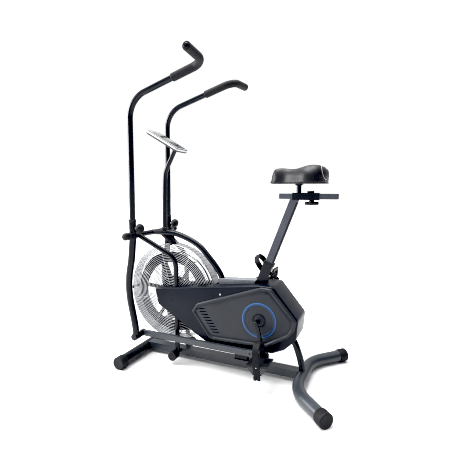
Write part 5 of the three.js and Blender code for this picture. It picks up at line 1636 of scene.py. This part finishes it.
base_outline = []
for k in range(33):
    t = 0.03 + 0.94 * k / 32
    base_outline.append((SADDLE_X0 + t * (SADDLE_X1 - SADDLE_X0), saddle_width(t) * 0.93))
base_outline += [(x, -y) for x, y in reversed(base_outline)]
bm = bmesh.new()
levels = [[bm.verts.new(at(x, y, z)) for x, y in base_outline] for z in (SADDLE_Z0 - 1.8, SADDLE_Z0 + 3)]
ring_faces(bm, levels)
fit(piece_from(bm, "saddle_base", rubber_black), "saddle_carriage", "vinyl")
clamp = [(11.4, -9), (14.5, -9), (16, -7.6), (20, -4), (22, -1), (22, 0), (11.4, 0)]
fit(turned("saddle_clamp", clamp, at(843, 0, SADDLE_Z0 - 1.5), Z_AXIS, frame_paint, 48, loop=True),
    "saddle_carriage", "black_paint")

# %% [markdown]
# ## The console
# A thin silver case on a bent post, tilted to the rider. A grey face plate carries a dark display window in a
# bezel, and a keypad with one button. The lower shell is darker, and dark trims line the two seams.

# %% Console post
post_points = [(88, 722), (89, 800), (93, 940), (98, 1030), (112, 1072), (134, 1112), (158, 1155),
               (164, 1164)]
post_path = smooth_line(post_points)
fit(tube("console_stem", post_path, 12, frame_paint, 36), "frame", "black_paint", "console_post")
collar = [(12.2, 0), (16, 0), (17, 1), (17, 16), (15.4, 18), (12.2, 18)]
fit(turned("console_stem_collar", collar, at(88, 0, 728), Z_AXIS, frame_paint, 40, loop=True), "frame",
    "black_paint")

# %% Console case
CONSOLE_MID, CONSOLE_TILT = (115, 1211), math.radians(30)
CONSOLE_LENGTH, CONSOLE_WIDTH, CONSOLE_NARROW, WINDOW_X, KEY_X = 222, 124, 112, -26, 64
console_x = Vector((math.cos(CONSOLE_TILT), 0, -math.sin(CONSOLE_TILT)))
console_z = Vector((math.sin(CONSOLE_TILT), 0, math.cos(CONSOLE_TILT)))
console_middle = at(CONSOLE_MID[0], 0, CONSOLE_MID[1])


def on_console(x, y, z):
    return console_middle + (console_x * x + Y_AXIS * y + console_z * z) * MM


def console_layers(name, levels, corners, radii, material, centre_x):
    """A lofted block in the console's own axes: levels are (inset, height) pairs."""
    bm = bmesh.new()
    rings = []
    for step, height in levels:
        outline = inset_rounded(corners, radii, step, 8)
        rings.append([bm.verts.new(on_console(x + centre_x, y, height)) for x, y in outline])
    ring_faces(bm, rings)
    return piece_from(bm, name, material)


def add_layers(*rows):
    """Lofts and fits one piece of the console per row, in the rows' order."""
    for name, levels, plan, rounds, material, centre_x, slot, nodes in rows:
        fit(console_layers(name, levels, plan, rounds, material, centre_x), "frame", slot, *nodes)


half_l, half_w, half_n = CONSOLE_LENGTH / 2, CONSOLE_WIDTH / 2, CONSOLE_NARROW / 2
case_plan = [(-half_l, -half_w), (half_l, -half_n), (half_l, half_n), (-half_l, half_w)]
plan_rounds = [24, 18, 18, 24]
top_levels = [(0.6, -3.0), (0, -2.2), (0, 3.0), (0.8, 6.0), (2.6, 8.4)]
plate_levels = [(3.4, 8.0), (3.6, 8.8), (6.0, 10.2), (11.0, 11.0)]
low_levels = [(12, -11), (7, -10.6), (3.4, -9.0), (1.2, -6.0), (0.9, -3.2)]
add_layers(("console_top_shell", top_levels, case_plan, plan_rounds, console_shell, 0, "console_shell",
            ["console_body"]),
           ("console_plate", plate_levels, case_plan, plan_rounds, console_face, 0, "console_shell", []),
           ("console_low_shell", low_levels, case_plan, plan_rounds, console_back, 0, "console_shell", []))
for name, step, height, radius in (
        ("console_top_trim", 3.0, 8.8, 1.5), ("console_joint_trim", 0.6, -3.0, 1.7)):
    seam = [on_console(x, y, height) for x, y in inset_rounded(case_plan, plan_rounds, step, 8)]
    fit(tube(name, seam + seam[:1], radius, console_back, 8), "frame", "console_shell")
keypad = [(-30, -44), (34, -40), (34, 40), (-30, 44)]
window = [(-54, -42), (54, -42), (54, 42), (-54, 42)]
keypad_levels = [(0, 10.0), (0, 11.6), (1.2, 12.2)]
bezel_levels = [(-5, 10.8), (-4.4, 11.4), (-3, 11.8), (-1.4, 11.6), (-0.4, 11.2)]
window_levels = [(1.0, 10.9), (0.8, 11.6), (1.6, 11.9)]
add_layers(("console_keypad", keypad_levels, keypad, [10] * 4, console_back, KEY_X, "console_shell", []),
           ("console_bezel", bezel_levels, window, [10] * 4, console_back, WINDOW_X, "console_shell", []),
           ("console_window", window_levels, window, [8] * 4, display_glass, WINDOW_X, "screen_plastic",
            ["console_screen"]))
button = [(0, 7.6), (8.6, 7.6), (8.8, 8.2), (8.8, 14.4), (8.0, 15.6), (5, 16.2), (0, 16.4)]
fit(turned("console_key", button, on_console(KEY_X, 0, 0), console_z, console_back, 40),
    "console_button_body",
    "rubber", "console_button")
well = [(9.4, 10.8), (12.4, 10.8), (12.6, 11.2), (11.4, 11.8), (9.8, 11.6)]
fit(turned("console_key_ring", well, on_console(KEY_X, 0, 0), console_z, console_back, 40, loop=True),
    "frame",
    "console_shell")

# %% [markdown]
# ## The floor
# A wide pale sheet, which isn't part of the bike.

# %% Floor
bm = bmesh.new()
bmesh.ops.create_grid(bm, x_segments=1, y_segments=1, size=30.0)
floor = piece_from(bm, "studio_floor", floor_finish)
for face in floor.data.polygons:
    if face.normal.z < 0:
        face.flip()

# %% [markdown]
# ## The end
# We print how many pieces were made.

# %% Count of pieces
print("pieces made:", len(MADE))
